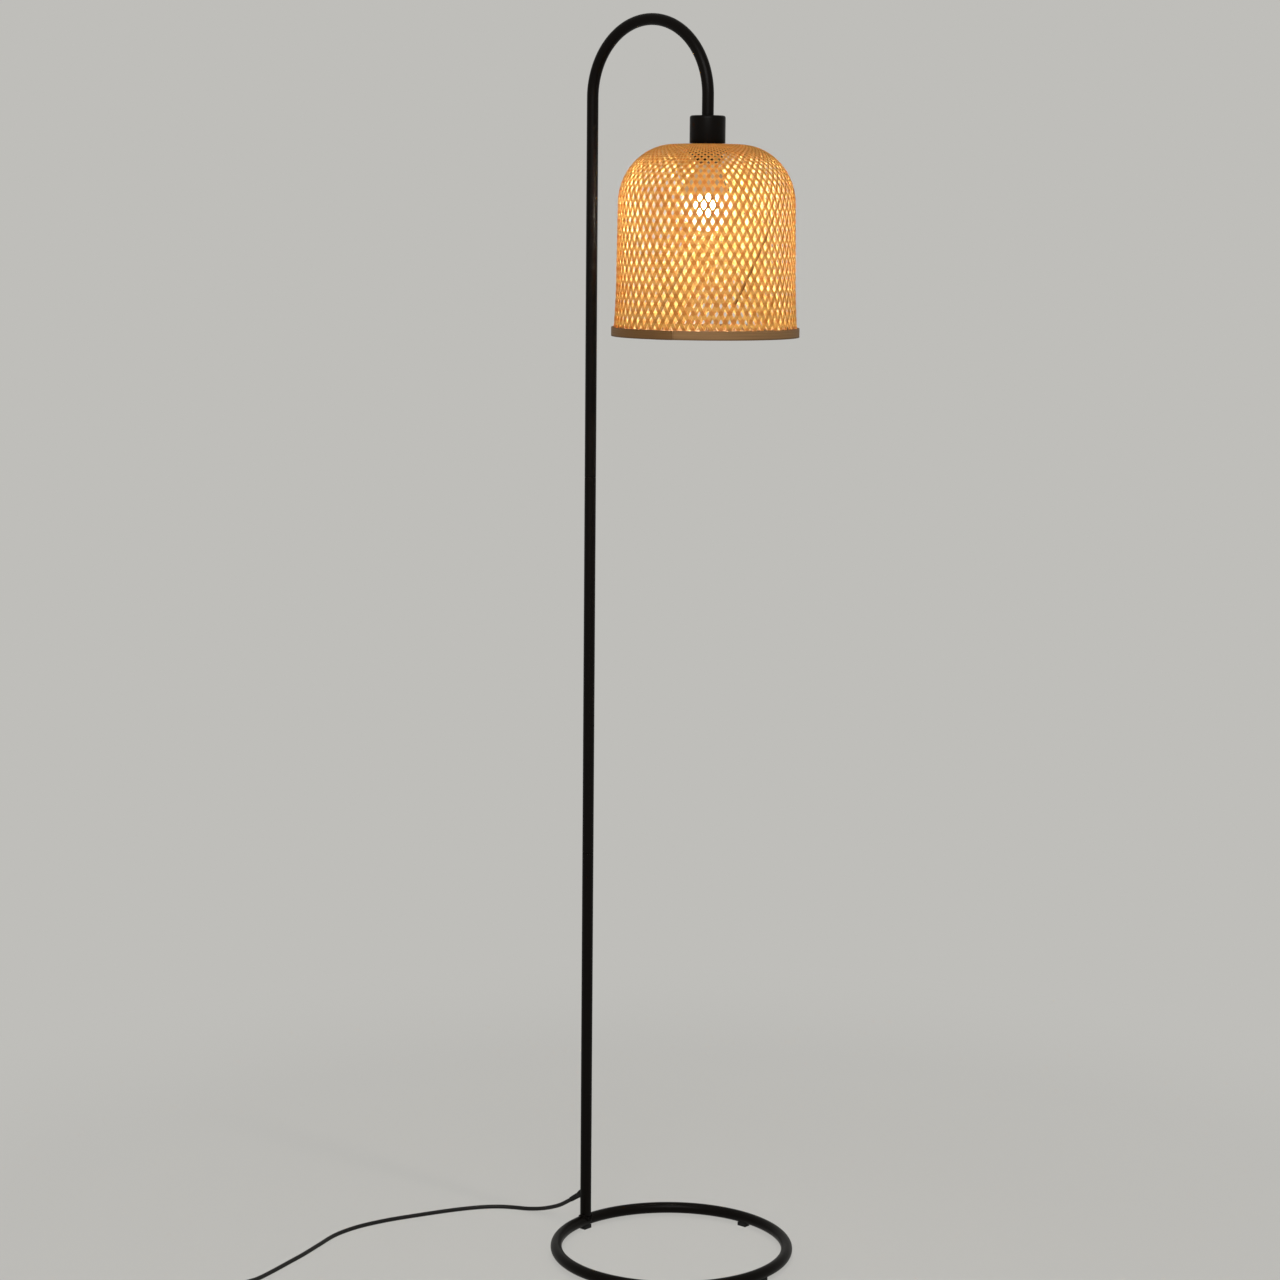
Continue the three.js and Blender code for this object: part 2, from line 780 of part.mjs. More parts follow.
function outletPoint(reach) {
  // The point on the outlet's axis at this reach outside the pole's surface.
  const slope = outletSlope * degrees;
  const x = poleX - tubeRadius - reach * Math.cos(slope);
  return new THREE.Vector3(x, 0, outletHeight - reach * Math.sin(slope));
}

function outletSleeve() {
  // A rubber sleeve with a flange that hugs the pole and a flare that thins towards the cord.
  const flare = arc(0, 0, 1, 0, 90, 4).map(([across, along]) => {
    const r = THREE.MathUtils.lerp(sleeveFlareDiameter, sleeveRootDiameter, along) / 2;
    return [r, sleeveFlareLength * (1 - across)];
  });
  const profile = [[0, -tubeRadius], [sleeveFlareDiameter / 2, -tubeRadius], ...flare];
  profile.push([sleeveTipDiameter / 2, sleeveLength], [0, sleeveLength]);
  const taper = alongOutlet(turned(profile, tubeSides));
  const button = rod(sleeveFlangeDiameter / 2, 0, 2 * tubeDiameter, tubeSides).rotateY(-Math.PI / 2);
  const skin = rod(tubeRadius + seatGap + sleeveFlangeThickness, 0, outletHeight + tubeDiameter, tubeSides);
  const flange = common(atPole(skin), atPole(button.translate(0, 0, outletHeight)));
  const pole = atPole(rod(tubeRadius + seatGap, 0, outletHeight + 2 * tubeDiameter, tubeSides));
  const neck = alongOutlet(rod(sleeveNeckDiameter / 2, -2 * tubeWall, sleeveFlareLength, tubeSides));
  const hole = rod(cordRadius + sleeveBoreClearance, -tubeDiameter, sleeveLength + cutOverrun, tubeSides);
  const bore = alongOutlet(hole);
  return cut(joined(cut(joined(taper, flange), pole), neck), bore);
}

function flexStations() {
  // In through the pole's wall, up the pole, over the crook and down to the lampholder.
  const slope = outletSlope * degrees;
  const bendStart = outletPoint(-tubeWall);
  const centreX = bendStart.x - flexBendRadius * Math.sin(slope);
  const centreZ = bendStart.z + flexBendRadius * Math.cos(slope);
  const stations = [outletPoint(0)];
  const bendSteps = 6;
  for (let i = 0; i <= bendSteps; i += 1) {
    const angle = THREE.MathUtils.lerp(slope, Math.PI / 2, i / bendSteps);
    const z = centreZ - flexBendRadius * Math.cos(angle);
    stations.push(new THREE.Vector3(centreX + flexBendRadius * Math.sin(angle), 0, z));
  }
  const bendEnd = stations[stations.length - 1];
  const slantZ = bendEnd.z + flexLowStraight;
  stations.push(new THREE.Vector3(bendEnd.x, 0, slantZ));
  stations.push(new THREE.Vector3(poleX, 0, slantZ + flexSlant));
  return [...stations, ...crookStations(flexEndZ)];
}

function innerFlex() {
  return swept(flexStations(), cordRadius, coilSides);
}

function flexCore(side) {
  // One insulated core from the end of the flex to its terminal.
  const topZ = flexEndZ - seatGap;
  const near = (side * (coreDiameter + coreSheathGap)) / 2;
  const far = (side * terminalSpacing) / 2;
  const points = [
    new THREE.Vector3(headX, near, topZ),
    new THREE.Vector3(headX, near, topZ - coreDiameter),
    new THREE.Vector3(headX, far, terminalBlockTopZ + coreDiameter / 2),
    new THREE.Vector3(headX, far, terminalBlockTopZ - terminalBlockHeight / 2),
  ];
  return swept(smoothed(points, 7), coreDiameter / 2, coilSides);
}

// Cord on the floor
// Its route is chosen by hand, and only its ends follow the pieces they meet.

const cordRunRoute = [
  [-187, 0, 20.4], [-201, -0.2, 14.3], [-215, -0.6, 9.4], [-229, -1.6, 5.8], [-242, -4, 3.6],
  [-256, -8.5, 2.8], [-271, -17, 2.7], [-286, -31, 2.7], [-301, -53, 2.7], [-313, -76, 2.7],
  [-330, -115, 2.7], [-346, -157, 2.7], [-355, -198, 2.7], [-354, -236, 2.7], [-343, -275, 2.7],
  [-332, -312, 2.7], [-324, -345, 2.7], [-316, -378, 2.8], [-309, -408, 3.7], [-306, -423, 5.5],
];

const cordLinkRoute = [
  [-266.5, -569.5, 7], [-265.5, -573.5, 6.2], [-260, -583, 5], [-250.5, -588.5, 4.1],
  [-239.5, -588.5, 3.5], [-230, -583, 3.1], [-224.5, -573.5, 2.9], [-224.5, -562.5, 2.8],
  [-228.5, -546, 2.8], [-233.5, -528.5, 3.1],
];

const switchPartingZ = switchBaseHeight + seatGap / 2;
const plugMiddleZ = plugThickness / 2;
const bootReach = bootLength + seatGap;

function route(rows) {
  return rows.map(([x, y, z]) => new THREE.Vector3(x, y, z));
}

function switchAxisPoint(along) {
  const heading = switchHeading * degrees;
  const x = switchX + along * Math.cos(heading);
  return new THREE.Vector3(x, switchY + along * Math.sin(heading), switchPartingZ);
}

function cordRunStations() {
  // Out through the sleeve, down to the floor and along it to the foot switch.
  const tip = sleeveLength + seatGap;
  const end = switchLength / 2 + bootReach;
  const lead = [outletPoint(seatGap), outletPoint(tip), outletPoint(tip + cordDiameter)];
  const finish = [switchAxisPoint(-end - cordDiameter), switchAxisPoint(-end)];
  return smoothed([...lead, ...route(cordRunRoute), ...finish], 44);
}

// Coil of spare cord

const coilTurns = coilWholeTurns + (coilStartAngle - coilEndAngle) / 360;
const coilLowZ = tieThickness + seatGap + cordRadius;
const coilMiddleTurn = coilTurns / 2;

function coilPoint(turn) {
  // Spirals in, climbs a layer in the half turn at the middle and spirals out again.
  const inward = Math.min(turn, coilTurns - turn);
  const radius = coilOuterRadius - coilPitch * inward;
  const climbTurns = 0.5;
  const climbStart = coilMiddleTurn - climbTurns / 2;
  const climb = THREE.MathUtils.smoothstep(turn, climbStart, climbStart + climbTurns);
  const angle = (coilStartAngle - 360 * turn) * degrees;
  const x = coilX + radius * Math.cos(angle);
  return new THREE.Vector3(x, coilY + radius * Math.sin(angle), coilLowZ + coilLayerRise * climb);
}

function coilStations() {
  // The turns, with a straight end one cord diameter long before and after them.
  const steps = Math.round(coilTurns * coilStepsPerTurn);
  const turns = [];
  for (let i = 0; i <= steps; i += 1) {
    turns.push(coilPoint((coilTurns * i) / steps));
  }
  const start = further(turns[0], turns[1], cordDiameter);
  return [start, ...turns, further(turns[steps], turns[steps - 1], cordDiameter)];
}

function further(end, inner, reach) {
  // The point this far past the end of a path, in line with its last step.
  return end.clone().addScaledVector(end.clone().sub(inner).normalize(), reach);
}

function leastCoilGap() {
  // The least space between stretches of the coil that lie apart along the cord.
  const stations = coilStations();
  const apart = Math.round(coilStepsPerTurn / 2);
  const nearest = new THREE.Vector3();
  let least = Infinity;
  for (let i = 0; i < stations.length; i += 1) {
    for (let j = i + apart; j < stations.length - 1; j += 1) {
      new THREE.Line3(stations[j], stations[j + 1]).closestPointToPoint(stations[i], true, nearest);
      least = Math.min(least, nearest.distanceTo(stations[i]));
    }
  }
  return least - cordDiameter;
}

function cordLinkStations() {
  const coil = coilStations();
  const start = switchLength / 2 + bootReach;
  const lead = [switchAxisPoint(start), switchAxisPoint(start + cordDiameter)];
  const finish = [seatGap + cordDiameter, seatGap].map((reach) => further(coil[0], coil[1], reach));
  return smoothed([...lead, ...route(cordLinkRoute), ...finish], 18);
}

function cordTailStations() {
  const [beforeLast, last] = coilStations().slice(-2);
  const lead = [seatGap, seatGap + cordDiameter].map((reach) => further(last, beforeLast, reach));
  const reaches = [bootReach + cordDiameter, bootReach];
  const finish = reaches.map((reach) => new THREE.Vector3(plugX - reach, plugY, plugMiddleZ));
  return smoothed([...lead, ...finish], 6);
}

function coilTie() {
  // A flat band round the bundle of turns.
  const outerR = coilOuterRadius + cordRadius + tieSlack;
  const innerR = coilOuterRadius - coilPitch * coilMiddleTurn - cordRadius - tieSlack;
  const bottom = tieThickness;
  const top = coilLowZ + coilLayerRise + cordRadius + seatGap;
  const middle = (outerR + innerR) / 2;
  const across = outerR - innerR;
  const whole = block(across + 2 * tieThickness, tieWidth, 0, top + tieThickness, middle);
  const inside = block(across, tieWidth + cutOverrun, bottom, top, middle);
  return cut(whole, inside).rotateZ(tieAngle * degrees).translate(coilX, coilY, 0);
}

// Sleeves at the switch and the plug

function boot() {
  // Made along +X with its root face at x = 0 and a neck behind it.
  const profile = [
    [0, -bootNeckLength], [bootNeckDiameter / 2, -bootNeckLength], [bootNeckDiameter / 2, seatGap],
    [bootRootDiameter / 2, seatGap], [bootTipDiameter / 2, bootLength], [0, bootLength],
  ];
  return turned(profile, smallSides).rotateY(Math.PI / 2);
}

function neckHole(from, to) {
  return rod(bootNeckDiameter / 2 + seatGap, from, to).rotateY(Math.PI / 2);
}

// Foot switch, made about its own middle with +X along the cord

const ceilingZ = switchHeight - switchWall;
const coverBottomZ = switchBaseHeight + seatGap;
const buttonFlangeTopZ = ceilingZ - seatGap;
const buttonBottomZ = buttonFlangeTopZ - buttonFlangeHeight;
const bridgeTopZ = buttonBottomZ - bridgePegLength - seatGap;
const terminalTopZ = bridgeTopZ - bridgeThickness - buttonTravel - seatGap;

function atSwitchScrews(geometry) {
  return [-1, 1].map((end) => geometry.clone().translate((end * switchScrewSpacing) / 2, 0, 0));
}

function cordHoles() {
  const reach = switchLength / 2 + cutOverrun;
  return neckHole(-reach, reach).translate(0, 0, switchPartingZ);
}

function switchOutline(inset = 0) {
  return stadium(switchLength - 2 * inset, switchWidth - 2 * inset);
}

function switchBase() {
  const body = cushioned(switchOutline(), 0, switchHeight, switchBaseEdge);
  const upperHalf = block(2 * switchLength, 2 * switchWidth, switchBaseHeight, 2 * switchHeight);
  const well = plate(switchOutline(switchWall), switchWall, switchHeight);
  const tray = cut(body, upperHalf, well, cordHoles());
  const bosses = atSwitchScrews(rod(switchBossDiameter / 2, switchWall / 2, switchBaseHeight));
  const springSeat = rod(springSeatDiameter / 2, switchWall / 2, switchWall + springSeatHeight);
  const shanks = atSwitchScrews(rod(switchScrewDiameter / 2 + seatGap, -cutOverrun, switchHeight));
  const sinkTop = switchScrewHeadHeight + 2 * seatGap;
  const sinks = atSwitchScrews(rod(switchScrewHeadDiameter / 2 + seatGap, -cutOverrun, sinkTop));
  return cut(joined(tray, springSeat, ...bosses), ...shanks, ...sinks);
}

function switchCover() {
  const body = cushioned(switchOutline(), 0, switchHeight, switchCoverEdge);
  const lowerHalf = block(2 * switchLength, 2 * switchWidth, -switchHeight, coverBottomZ);
  const well = plate(switchOutline(switchWall), 0, ceilingZ);
  const opening = ellipse(buttonLength + 2 * seatGap, buttonWidth + 2 * seatGap);
  const shell = cut(body, lowerHalf, well, plate(opening, 0, switchHeight + cutOverrun), cordHoles());
  const bosses = atSwitchScrews(rod(switchBossDiameter / 2, coverBottomZ, ceilingZ + switchWall / 2));
  const holes = atSwitchScrews(rod(switchScrewDiameter / 2 + seatGap, 0, ceilingZ));
  return cut(joined(shell, ...bosses), ...holes);
}

function switchScrew() {
  const head = switchScrewHeadDiameter / 2;
  const shank = switchScrewDiameter / 2;
  const headTop = seatGap + switchScrewHeadHeight;
  const tip = ceilingZ - switchWall;
  const profile = [[0, seatGap], [head, seatGap], [head, headTop], [shank, headTop], [shank, tip], [0, tip]];
  return turned(profile, edgeSides);
}

function switchButton() {
  const top = switchHeight + buttonProud;
  const pad = cushioned(ellipse(buttonLength, buttonWidth), buttonBottomZ - buttonProud, top, buttonEdge);
  const below = block(switchLength, switchWidth, 0, buttonBottomZ);
  const flange = ellipse(buttonLength + 2 * buttonFlange, buttonWidth + 2 * buttonFlange);
  const rim = plate(flange, buttonBottomZ, buttonFlangeTopZ);
  const peg = rod(bridgePegDiameter / 2, buttonBottomZ - bridgePegLength, buttonFlangeTopZ);
  return joined(cut(pad, below), rim, peg.translate(0, bridgeOffset, 0));
}

function switchBridge() {
  return block(bridgeLength, bridgeWidth, bridgeTopZ - bridgeThickness, bridgeTopZ, 0, bridgeOffset);
}

function switchTerminal(end) {
  const x = (end * (bridgeLength - terminalLength)) / 2;
  return block(terminalLength, bridgeWidth, switchWall + seatGap, terminalTopZ, x, bridgeOffset);
}

function switchSpring() {
  const steps = springTurns * edgeSides;
  const radius = (springDiameter - springWire) / 2;
  const low = switchWall + seatGap + springWire / 2;
  const high = buttonBottomZ - seatGap - springWire / 2;
  const stations = [];
  for (let i = 0; i <= steps; i += 1) {
    const angle = (2 * Math.PI * springTurns * i) / steps;
    const z = THREE.MathUtils.lerp(low, high, i / steps);
    stations.push(new THREE.Vector3(radius * Math.cos(angle), radius * Math.sin(angle), z));
  }
  return swept(stations, springWire / 2, coilSides);
}

// Plug, made with its cord face at x = 0 and its pins along +X

function atPin(geometry, side) {
  return geometry.rotateY(Math.PI / 2).translate(0, (side * plugPinSpacing) / 2, plugMiddleZ);
}

function plugBody() {
  const half = plugWidth / 2;
  const waist = plugWaist / 2;
  const [waistShare, bendShare, wideShare] = [0.28, 0.5, 0.72];
  const shape = new THREE.Shape();
  shape.moveTo(0, -waist);
  shape.lineTo(plugLength * waistShare, -waist);
  shape.quadraticCurveTo(plugLength * bendShare, -waist, plugLength * wideShare, -half);
  shape.lineTo(plugLength, -half);
  shape.lineTo(plugLength, half);
  shape.lineTo(plugLength * wideShare, half);
  shape.quadraticCurveTo(plugLength * bendShare, waist, plugLength * waistShare, waist);
  shape.lineTo(0, waist);
  const body = cushioned(shape, 0, plugThickness, plugEdge);
  const root = plugLength - plugPinRoot;
  const sleeveEnd = plugLength + plugPinSleeveLength;
  const bore = plugPinDiameter / 2 + seatGap;
  const sleeves = [-1, 1].map((side) => atPin(rod(bore + plugPinSleeveWall, root, sleeveEnd), side));
  const bores = [-1, 1].map((side) => atPin(rod(bore, root - seatGap, sleeveEnd + cutOverrun), side));
  const neck = neckHole(-cutOverrun, bootNeckLength + seatGap).translate(0, 0, plugMiddleZ);
  return cut(joined(body, ...sleeves), ...bores, neck);
}

function plugPin(side) {
  const radius = plugPinDiameter / 2;
  const root = plugLength - plugPinRoot;
  const tip = arc(0, plugLength + plugPinLength - radius, radius, 0, 90, 3);
  return atPin(turned([[0, root], [radius, root], ...tip], smallSides), side);
}

// Finishes

function finish(color, roughness, metalness) {
  return new THREE.MeshStandardMaterial({ color, roughness, metalness });
}

const blackPaint = finish(0x16140f, 0.45, 0.2);
const steel = finish(0x9a9a98, 0.4, 0.9);
const brass = finish(0xc9a54f, 0.35, 0.9);
const nickel = finish(0xb9b7b0, 0.3, 0.9);
const blackRubber = finish(0x17171a, 0.85, 0);
const blackPlastic = finish(0x1a1a1c, 0.5, 0);
const whitePlastic = finish(0xeceae4, 0.5, 0);
const bambooWeave = finish(0xd9a662, 0.7, 0);
const bambooRim = finish(0x9a7652, 0.65, 0);
const opalGlass = finish(0xfff4dc, 0.3, 0);
const blackGlass = finish(0x24211f, 0.2, 0);
const brownSheath = finish(0x6b4326, 0.6, 0);
const blueSheath = finish(0x2f5f9e, 0.6, 0);

// Assembly

const lamp = new THREE.Group();
const footSwitch = new THREE.Group();
footSwitch.position.set(switchX, switchY, 0);
footSwitch.rotation.z = switchHeading * degrees;
const plug = new THREE.Group();
plug.position.set(plugX, plugY, 0);
lamp.add(footSwitch, plug);

function add(group, name, geometry, material) {
  const crease = 35 * degrees;
  const mesh = new THREE.Mesh(toCreasedNormals(cleaned(geometry), crease), material);
  mesh.name = name;
  group.add(mesh);
  return mesh;
}

add(lamp, 'base_ring', ring(0), blackPaint);
padNames.forEach((name, i) => add(lamp, name, footPad((360 * i) / padNames.length), blackRubber));
add(lamp, 'foot_weld', footWeld(), blackPaint);

add(lamp, 'pole_lower', lowerPole(), blackPaint);
add(lamp, 'pole_middle', middlePole(), blackPaint);
add(lamp, 'crook_tube', crookTube(), blackPaint);
add(lamp, 'lower_pole_bush', poleBush(lowerPoleTopZ), steel);
add(lamp, 'middle_pole_stud', poleStud(middlePoleBottomZ), steel);
add(lamp, 'middle_pole_bush', poleBush(middlePoleTopZ), steel);
add(lamp, 'crook_stud', poleStud(crookBottomZ), steel);
add(lamp, 'crook_end_bush', crookEndBush(), steel);

add(lamp, 'holder_nipple', holderNipple(), steel);
add(lamp, 'lamp_cup', lampCup(), blackPaint);
add(lamp, 'holder_locknut', holderLocknut(), steel);
add(lamp, 'holder_cap', holderCap(), blackPlastic);
add(lamp, 'holder_terminal_block', terminalBlock(), blackPlastic);
add(lamp, 'holder_body', holderBody(), blackPlastic);
add(lamp, 'holder_screw_shell', holderScrewShell(), brass);
add(lamp, 'holder_centre_contact', holderCentreContact(), brass);

add(lamp, 'shade_ring', shadeRing(), blackPlastic);
add(lamp, 'shade_fitter', shadeFitter(), steel);
add(lamp, 'woven_shade', wovenShade(), bambooWeave);
add(lamp, 'shade_rim_outer', shadeRimOuter(), bambooRim);
add(lamp, 'shade_rim_inner', shadeRimInner(), bambooRim);

add(lamp, 'bulb_globe', bulbGlobe(), opalGlass);
add(lamp, 'bulb_housing', bulbHousing(), whitePlastic);
add(lamp, 'bulb_led_board', bulbBoard(), whitePlastic);
add(lamp, 'bulb_screw_cap', bulbScrewCap(), nickel);
add(lamp, 'bulb_insulator', bulbInsulator(), blackGlass);
add(lamp, 'bulb_contact', bulbContact(), nickel);

add(lamp, 'cord_outlet_sleeve', outletSleeve(), blackRubber);
add(lamp, 'inner_flex', innerFlex(), blackPlastic);
add(lamp, 'flex_core_live', flexCore(1), brownSheath);
add(lamp, 'flex_core_neutral', flexCore(-1), blueSheath);

add(lamp, 'cord_run', swept(cordRunStations(), cordRadius, cordSides), blackPlastic);
add(lamp, 'cord_link', swept(cordLinkStations(), cordRadius, cordSides), blackPlastic);
add(lamp, 'cord_coil', swept(coilStations(), cordRadius, coilSides), blackPlastic);
add(lamp, 'cord_tail', swept(cordTailStations(), cordRadius, cordSides), blackPlastic);
add(lamp, 'coil_tie', coilTie(), blackPlastic);

add(footSwitch, 'switch_base', switchBase(), blackPlastic);
add(footSwitch, 'switch_cover', switchCover(), blackPlastic);
const [rearScrew, frontScrew] = atSwitchScrews(switchScrew());
add(footSwitch, 'switch_screw_rear', rearScrew, steel);
add(footSwitch, 'switch_screw_front', frontScrew, steel);
add(footSwitch, 'switch_button', switchButton(), blackPlastic);
add(footSwitch, 'switch_spring', switchSpring(), steel);
add(footSwitch, 'switch_bridge', switchBridge(), brass);
add(footSwitch, 'switch_terminal_in', switchTerminal(-1), brass);
add(footSwitch, 'switch_terminal_out', switchTerminal(1), brass);
const bootOut = add(footSwitch, 'switch_boot_out', boot(), blackRubber);
bootOut.position.set(switchLength / 2, 0, switchPartingZ);
const bootIn = add(footSwitch, 'switch_boot_in', boot(), blackRubber);
bootIn.position.set(-switchLength / 2, 0, switchPartingZ);
bootIn.rotation.z = Math.PI;

add(plug, 'plug_body', plugBody(), blackPlastic);
add(plug, 'plug_pin_left', plugPin(1), nickel);
add(plug, 'plug_pin_right', plugPin(-1), nickel);
const plugBoot = add(plug, 'plug_boot', boot(), blackRubber);
plugBoot.position.set(0, 0, plugMiddleZ);
plugBoot.rotation.z = Math.PI;

console.log(`The turns of the coil stay ${leastCoilGap().toFixed(2)} mm apart.`);

export default lamp;
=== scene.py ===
"""The looks of a floor lamp with a woven bamboo shade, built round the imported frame."""

import math

import bmesh
import bpy
import numpy as np
from bpy.props import FloatProperty, FloatVectorProperty, IntProperty, PointerProperty
from mathutils import Matrix, Vector


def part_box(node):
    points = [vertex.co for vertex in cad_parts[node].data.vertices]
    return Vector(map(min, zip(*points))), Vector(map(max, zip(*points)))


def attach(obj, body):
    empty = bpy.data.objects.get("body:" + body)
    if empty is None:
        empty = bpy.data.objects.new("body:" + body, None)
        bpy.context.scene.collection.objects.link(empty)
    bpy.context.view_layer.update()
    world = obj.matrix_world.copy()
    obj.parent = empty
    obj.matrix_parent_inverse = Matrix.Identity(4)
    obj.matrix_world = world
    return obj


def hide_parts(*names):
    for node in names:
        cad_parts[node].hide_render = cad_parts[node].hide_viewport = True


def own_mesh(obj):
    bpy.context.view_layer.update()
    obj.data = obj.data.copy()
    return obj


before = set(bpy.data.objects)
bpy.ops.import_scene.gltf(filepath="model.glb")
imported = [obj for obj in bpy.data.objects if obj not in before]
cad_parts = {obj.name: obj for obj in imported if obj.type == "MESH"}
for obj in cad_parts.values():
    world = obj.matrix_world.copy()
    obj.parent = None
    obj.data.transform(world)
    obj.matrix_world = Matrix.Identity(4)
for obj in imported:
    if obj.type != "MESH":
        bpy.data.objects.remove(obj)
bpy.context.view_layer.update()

bl_info = {
    "name": "Woven shade floor lamp",
    "version": (1, 0, 0),
    "blender": (4, 5, 0),
    "location": "View3D > Sidebar > Floor lamp",
    "description": "Builds a ring base, crooked pole, woven bell shade, bulb and corded foot switch",
    "category": "Object",
}

# Sizes below are in millimetres, as in the part's source, and a piece's mesh is made in metres.
MM = 0.001

GAP = 0.3
TUBE_RADIUS = 7.0
TUBE_BORE = 5.8
RING_RADIUS = 143.0
RING_HEIGHT = 11.0
POLE_X = -143.0
HEAD_X = 37.0
POLE_JOINTS = ((488.0, 488.3), (958.3, 958.6))
CROOK_RADIUS = 90.0
SPRINGLINE = 1417.0
CROOK_END = 1394.0

CORD_RADIUS = 2.6
CORD_STEP = 4.0
OUTLET_HEIGHT = 44.4
OUTLET_SLOPE = math.radians(34)
SLEEVE_LENGTH = 22.0
BOOT_LENGTH = 22.0

SWITCH_X = -284.6
SWITCH_Y = -501.8
SWITCH_HEADING = math.radians(-75)
SWITCH_LENGTH = 70.0
SWITCH_WIDTH = 34.0
SWITCH_HEIGHT = 18.0
SWITCH_PARTING = 8.5
SWITCH_WALL = 2.0
SWITCH_SIDES = 64
BUTTON_PROUD = 3.4
PLUG_X = -150.0
PLUG_Y = -452.0
PLUG_MIDDLE = 6.85
PLUG_LENGTH = 36.0
PIN_SPACING = 18.6
PIN_RADIUS = 2.0
PIN_END = 53.0

COIL_X = -207.0
COIL_Y = -486.0
COIL_RADIUS = 36.5
COIL_PITCH = 5.8
COIL_LOW = 3.7
COIL_TURNS = 5 + 105 / 360
COIL_START = 195.0
TIE_ANGLE = math.radians(-60)

CUP_RADIUS = 21.0
CUP_WALL = 1.2
CUP_BOTTOM = 1361.7
CUP_TOP = CROOK_END - GAP
CUP_HOLE = 4.35

SHADE_TOP = 1361.4
SHADE_HOLE = 19.0
SHADE_FLAT = 38.0
SHADE_SHOULDER = 104.8
SHADE_WAIST = 106.0
SHADE_FLARE = 2.6
FLARE_HEIGHT = 68.0
SHADE_EDGE = 1137.9
RIM_TOP = 1147.7
RIM_BOTTOM = 1136.9
SHOULDER = 1291.4
HOOP_THICKNESS = 2.0
OUTER_HOOP_BORE = 109.0
INNER_HOOP_BORE = 103.9
SEAM_ANGLE = -79.0
LAP_ANGLE = 9.0

# Added to a strip's number, so that the two ways' strips differ.
WAY_NUMBER = 500.5
# A painted edge shadow's way and strip, the radians round the shade between which it runs, and how deep it
# is.
EDGE_SHADOWS = ((1, 56, 0.2, 0.6, 1.0), (1, 56, 0.6, 0.84, 0.5), (1, 48, 0.06, 0.5, 0.4))
EDGE_SHADOW_COLOUR = (0.2, 0.08, 0.045)

GLOBE_Z = 1289.6
GLOBE_RADIUS = 30.0
GLOBE_TOP = 1303.3
GLASS = 1.2
HOUSING_WALL = 1.8
HOUSING_TOP = 1336.4
CAP_TOP = 1359.0

# The camera's place in metres, which way it looks, and how far it is tilted down and rolled.
CAMERA_PLACE = (2.27352, -2.70955, 1.28736)
CAMERA_HEADING = (-0.6526, 0.7577)
CAMERA_TILT = math.radians(8.306)
CAMERA_ROLL = math.radians(0.510)

# The cord's route from the outlet to the foot switch, and on from the switch to the coil.
CORD_RUN = (
    (-187, 0, 20.4), (-201, -0.2, 14.3), (-215, -0.6, 9.4), (-229, -1.6, 5.8), (-242, -4, 3.6),
    (-256, -8.5, 2.8), (-271, -17, 2.7), (-286, -31, 2.7), (-301, -53, 2.7), (-313, -76, 2.7),
    (-330, -115, 2.7), (-346, -157, 2.7), (-354.9, -198, 2.7), (-354, -236, 2.7), (-343, -275, 2.7),
    (-332, -312, 2.7), (-324, -345, 2.7), (-316, -378, 2.8), (-309, -408, 3.7), (-306, -423, 5.5),
)
CORD_LINK = (
    (-266.5, -569.5, 7), (-265.5, -573.5, 6.2), (-260, -583, 5), (-250.5, -588.1, 4.1),
    (-239.5, -588.1, 3.5), (-230, -583, 3.1), (-224.5, -573.5, 2.9), (-224.5, -562.5, 2.8),
    (-228.5, -546, 2.8), (-233.5, -528.5, 3.1),
)


# Settings


def colour(name, description, default):
    return FloatVectorProperty(name=name, description=description, subtype="COLOR", default=default)


def distance(name, description, default):
    return FloatProperty(name=name, description=description, default=default, unit="LENGTH")


class WeaveSettings(bpy.types.PropertyGroup):
    strips: IntProperty(name="Strips each way", description="Strips that lean one way", default=64, min=8)
    cover: FloatProperty(
        name="Cover", description="Share of the wall that one way's strips cover",
        default=0.5, min=0.3, max=0.9, subtype="FACTOR",
    )
    thickness: distance("Strip thickness", "Thickness of a strip", 0.0006)
    wave: distance("Wave", "How far a strip bends in and out as it passes over and under", 0.00036)
    wander: distance("Wander", "How far a strip strays from its line", 0.0002)
    phase: FloatProperty(
        name="Turn", description="Turn of the whole weave round the shade", default=0.0204, unit="ROTATION"
    )
    seed: IntProperty(name="Seed", description="Picks the small differences between strips", default=7)


class FinishSettings(bpy.types.PropertyGroup):
    paint: colour("Paint", "Colour of the painted steel", (0.0035, 0.0026, 0.002))
    bamboo: colour("Bamboo strips", "Colour of the woven strips", (0.76, 0.55, 0.22))
    lit_bamboo: colour("Lit strips", "Colour of the light that comes through a strip", (1.0, 0.84, 0.44))
    rim: colour("Bamboo rim", "Colour of the hoops", (0.29, 0.16, 0.068))
    sheath: colour("Cord", "Colour of the cord's sheath", (0.008, 0.0075, 0.007))
    glow: colour("Bulb light", "Colour of the bulb's light", (1.0, 0.92, 0.80))
    glow_strength: FloatProperty(
        name="Bulb strength", description="Brightness of the lit globe", default=1600.0, min=0.0
    )


class StudioSettings(bpy.types.PropertyGroup):
    backdrop: colour("Backdrop", "Colour of the floor and backdrop", (0.521, 0.515, 0.491))
    floor: colour("Floor", "Colour of the floor under the lamp", (0.93, 0.92, 0.88))
    lens: FloatProperty(name="Lens", description="Focal length of the camera in millimetres", default=83.42)
    around: FloatProperty(name="Light from around", description="Brightness of the room", default=0.16)
    key: FloatProperty(
        name="Key light", description="Power of the soft light in front", default=54.0, subtype="POWER"
    )


# Shapes, in millimetres


def round_section(radius, sides):
    angles = np.arange(sides) * 2 * math.pi / sides
    return np.stack([radius * np.cos(angles), radius * np.sin(angles)], axis=1)


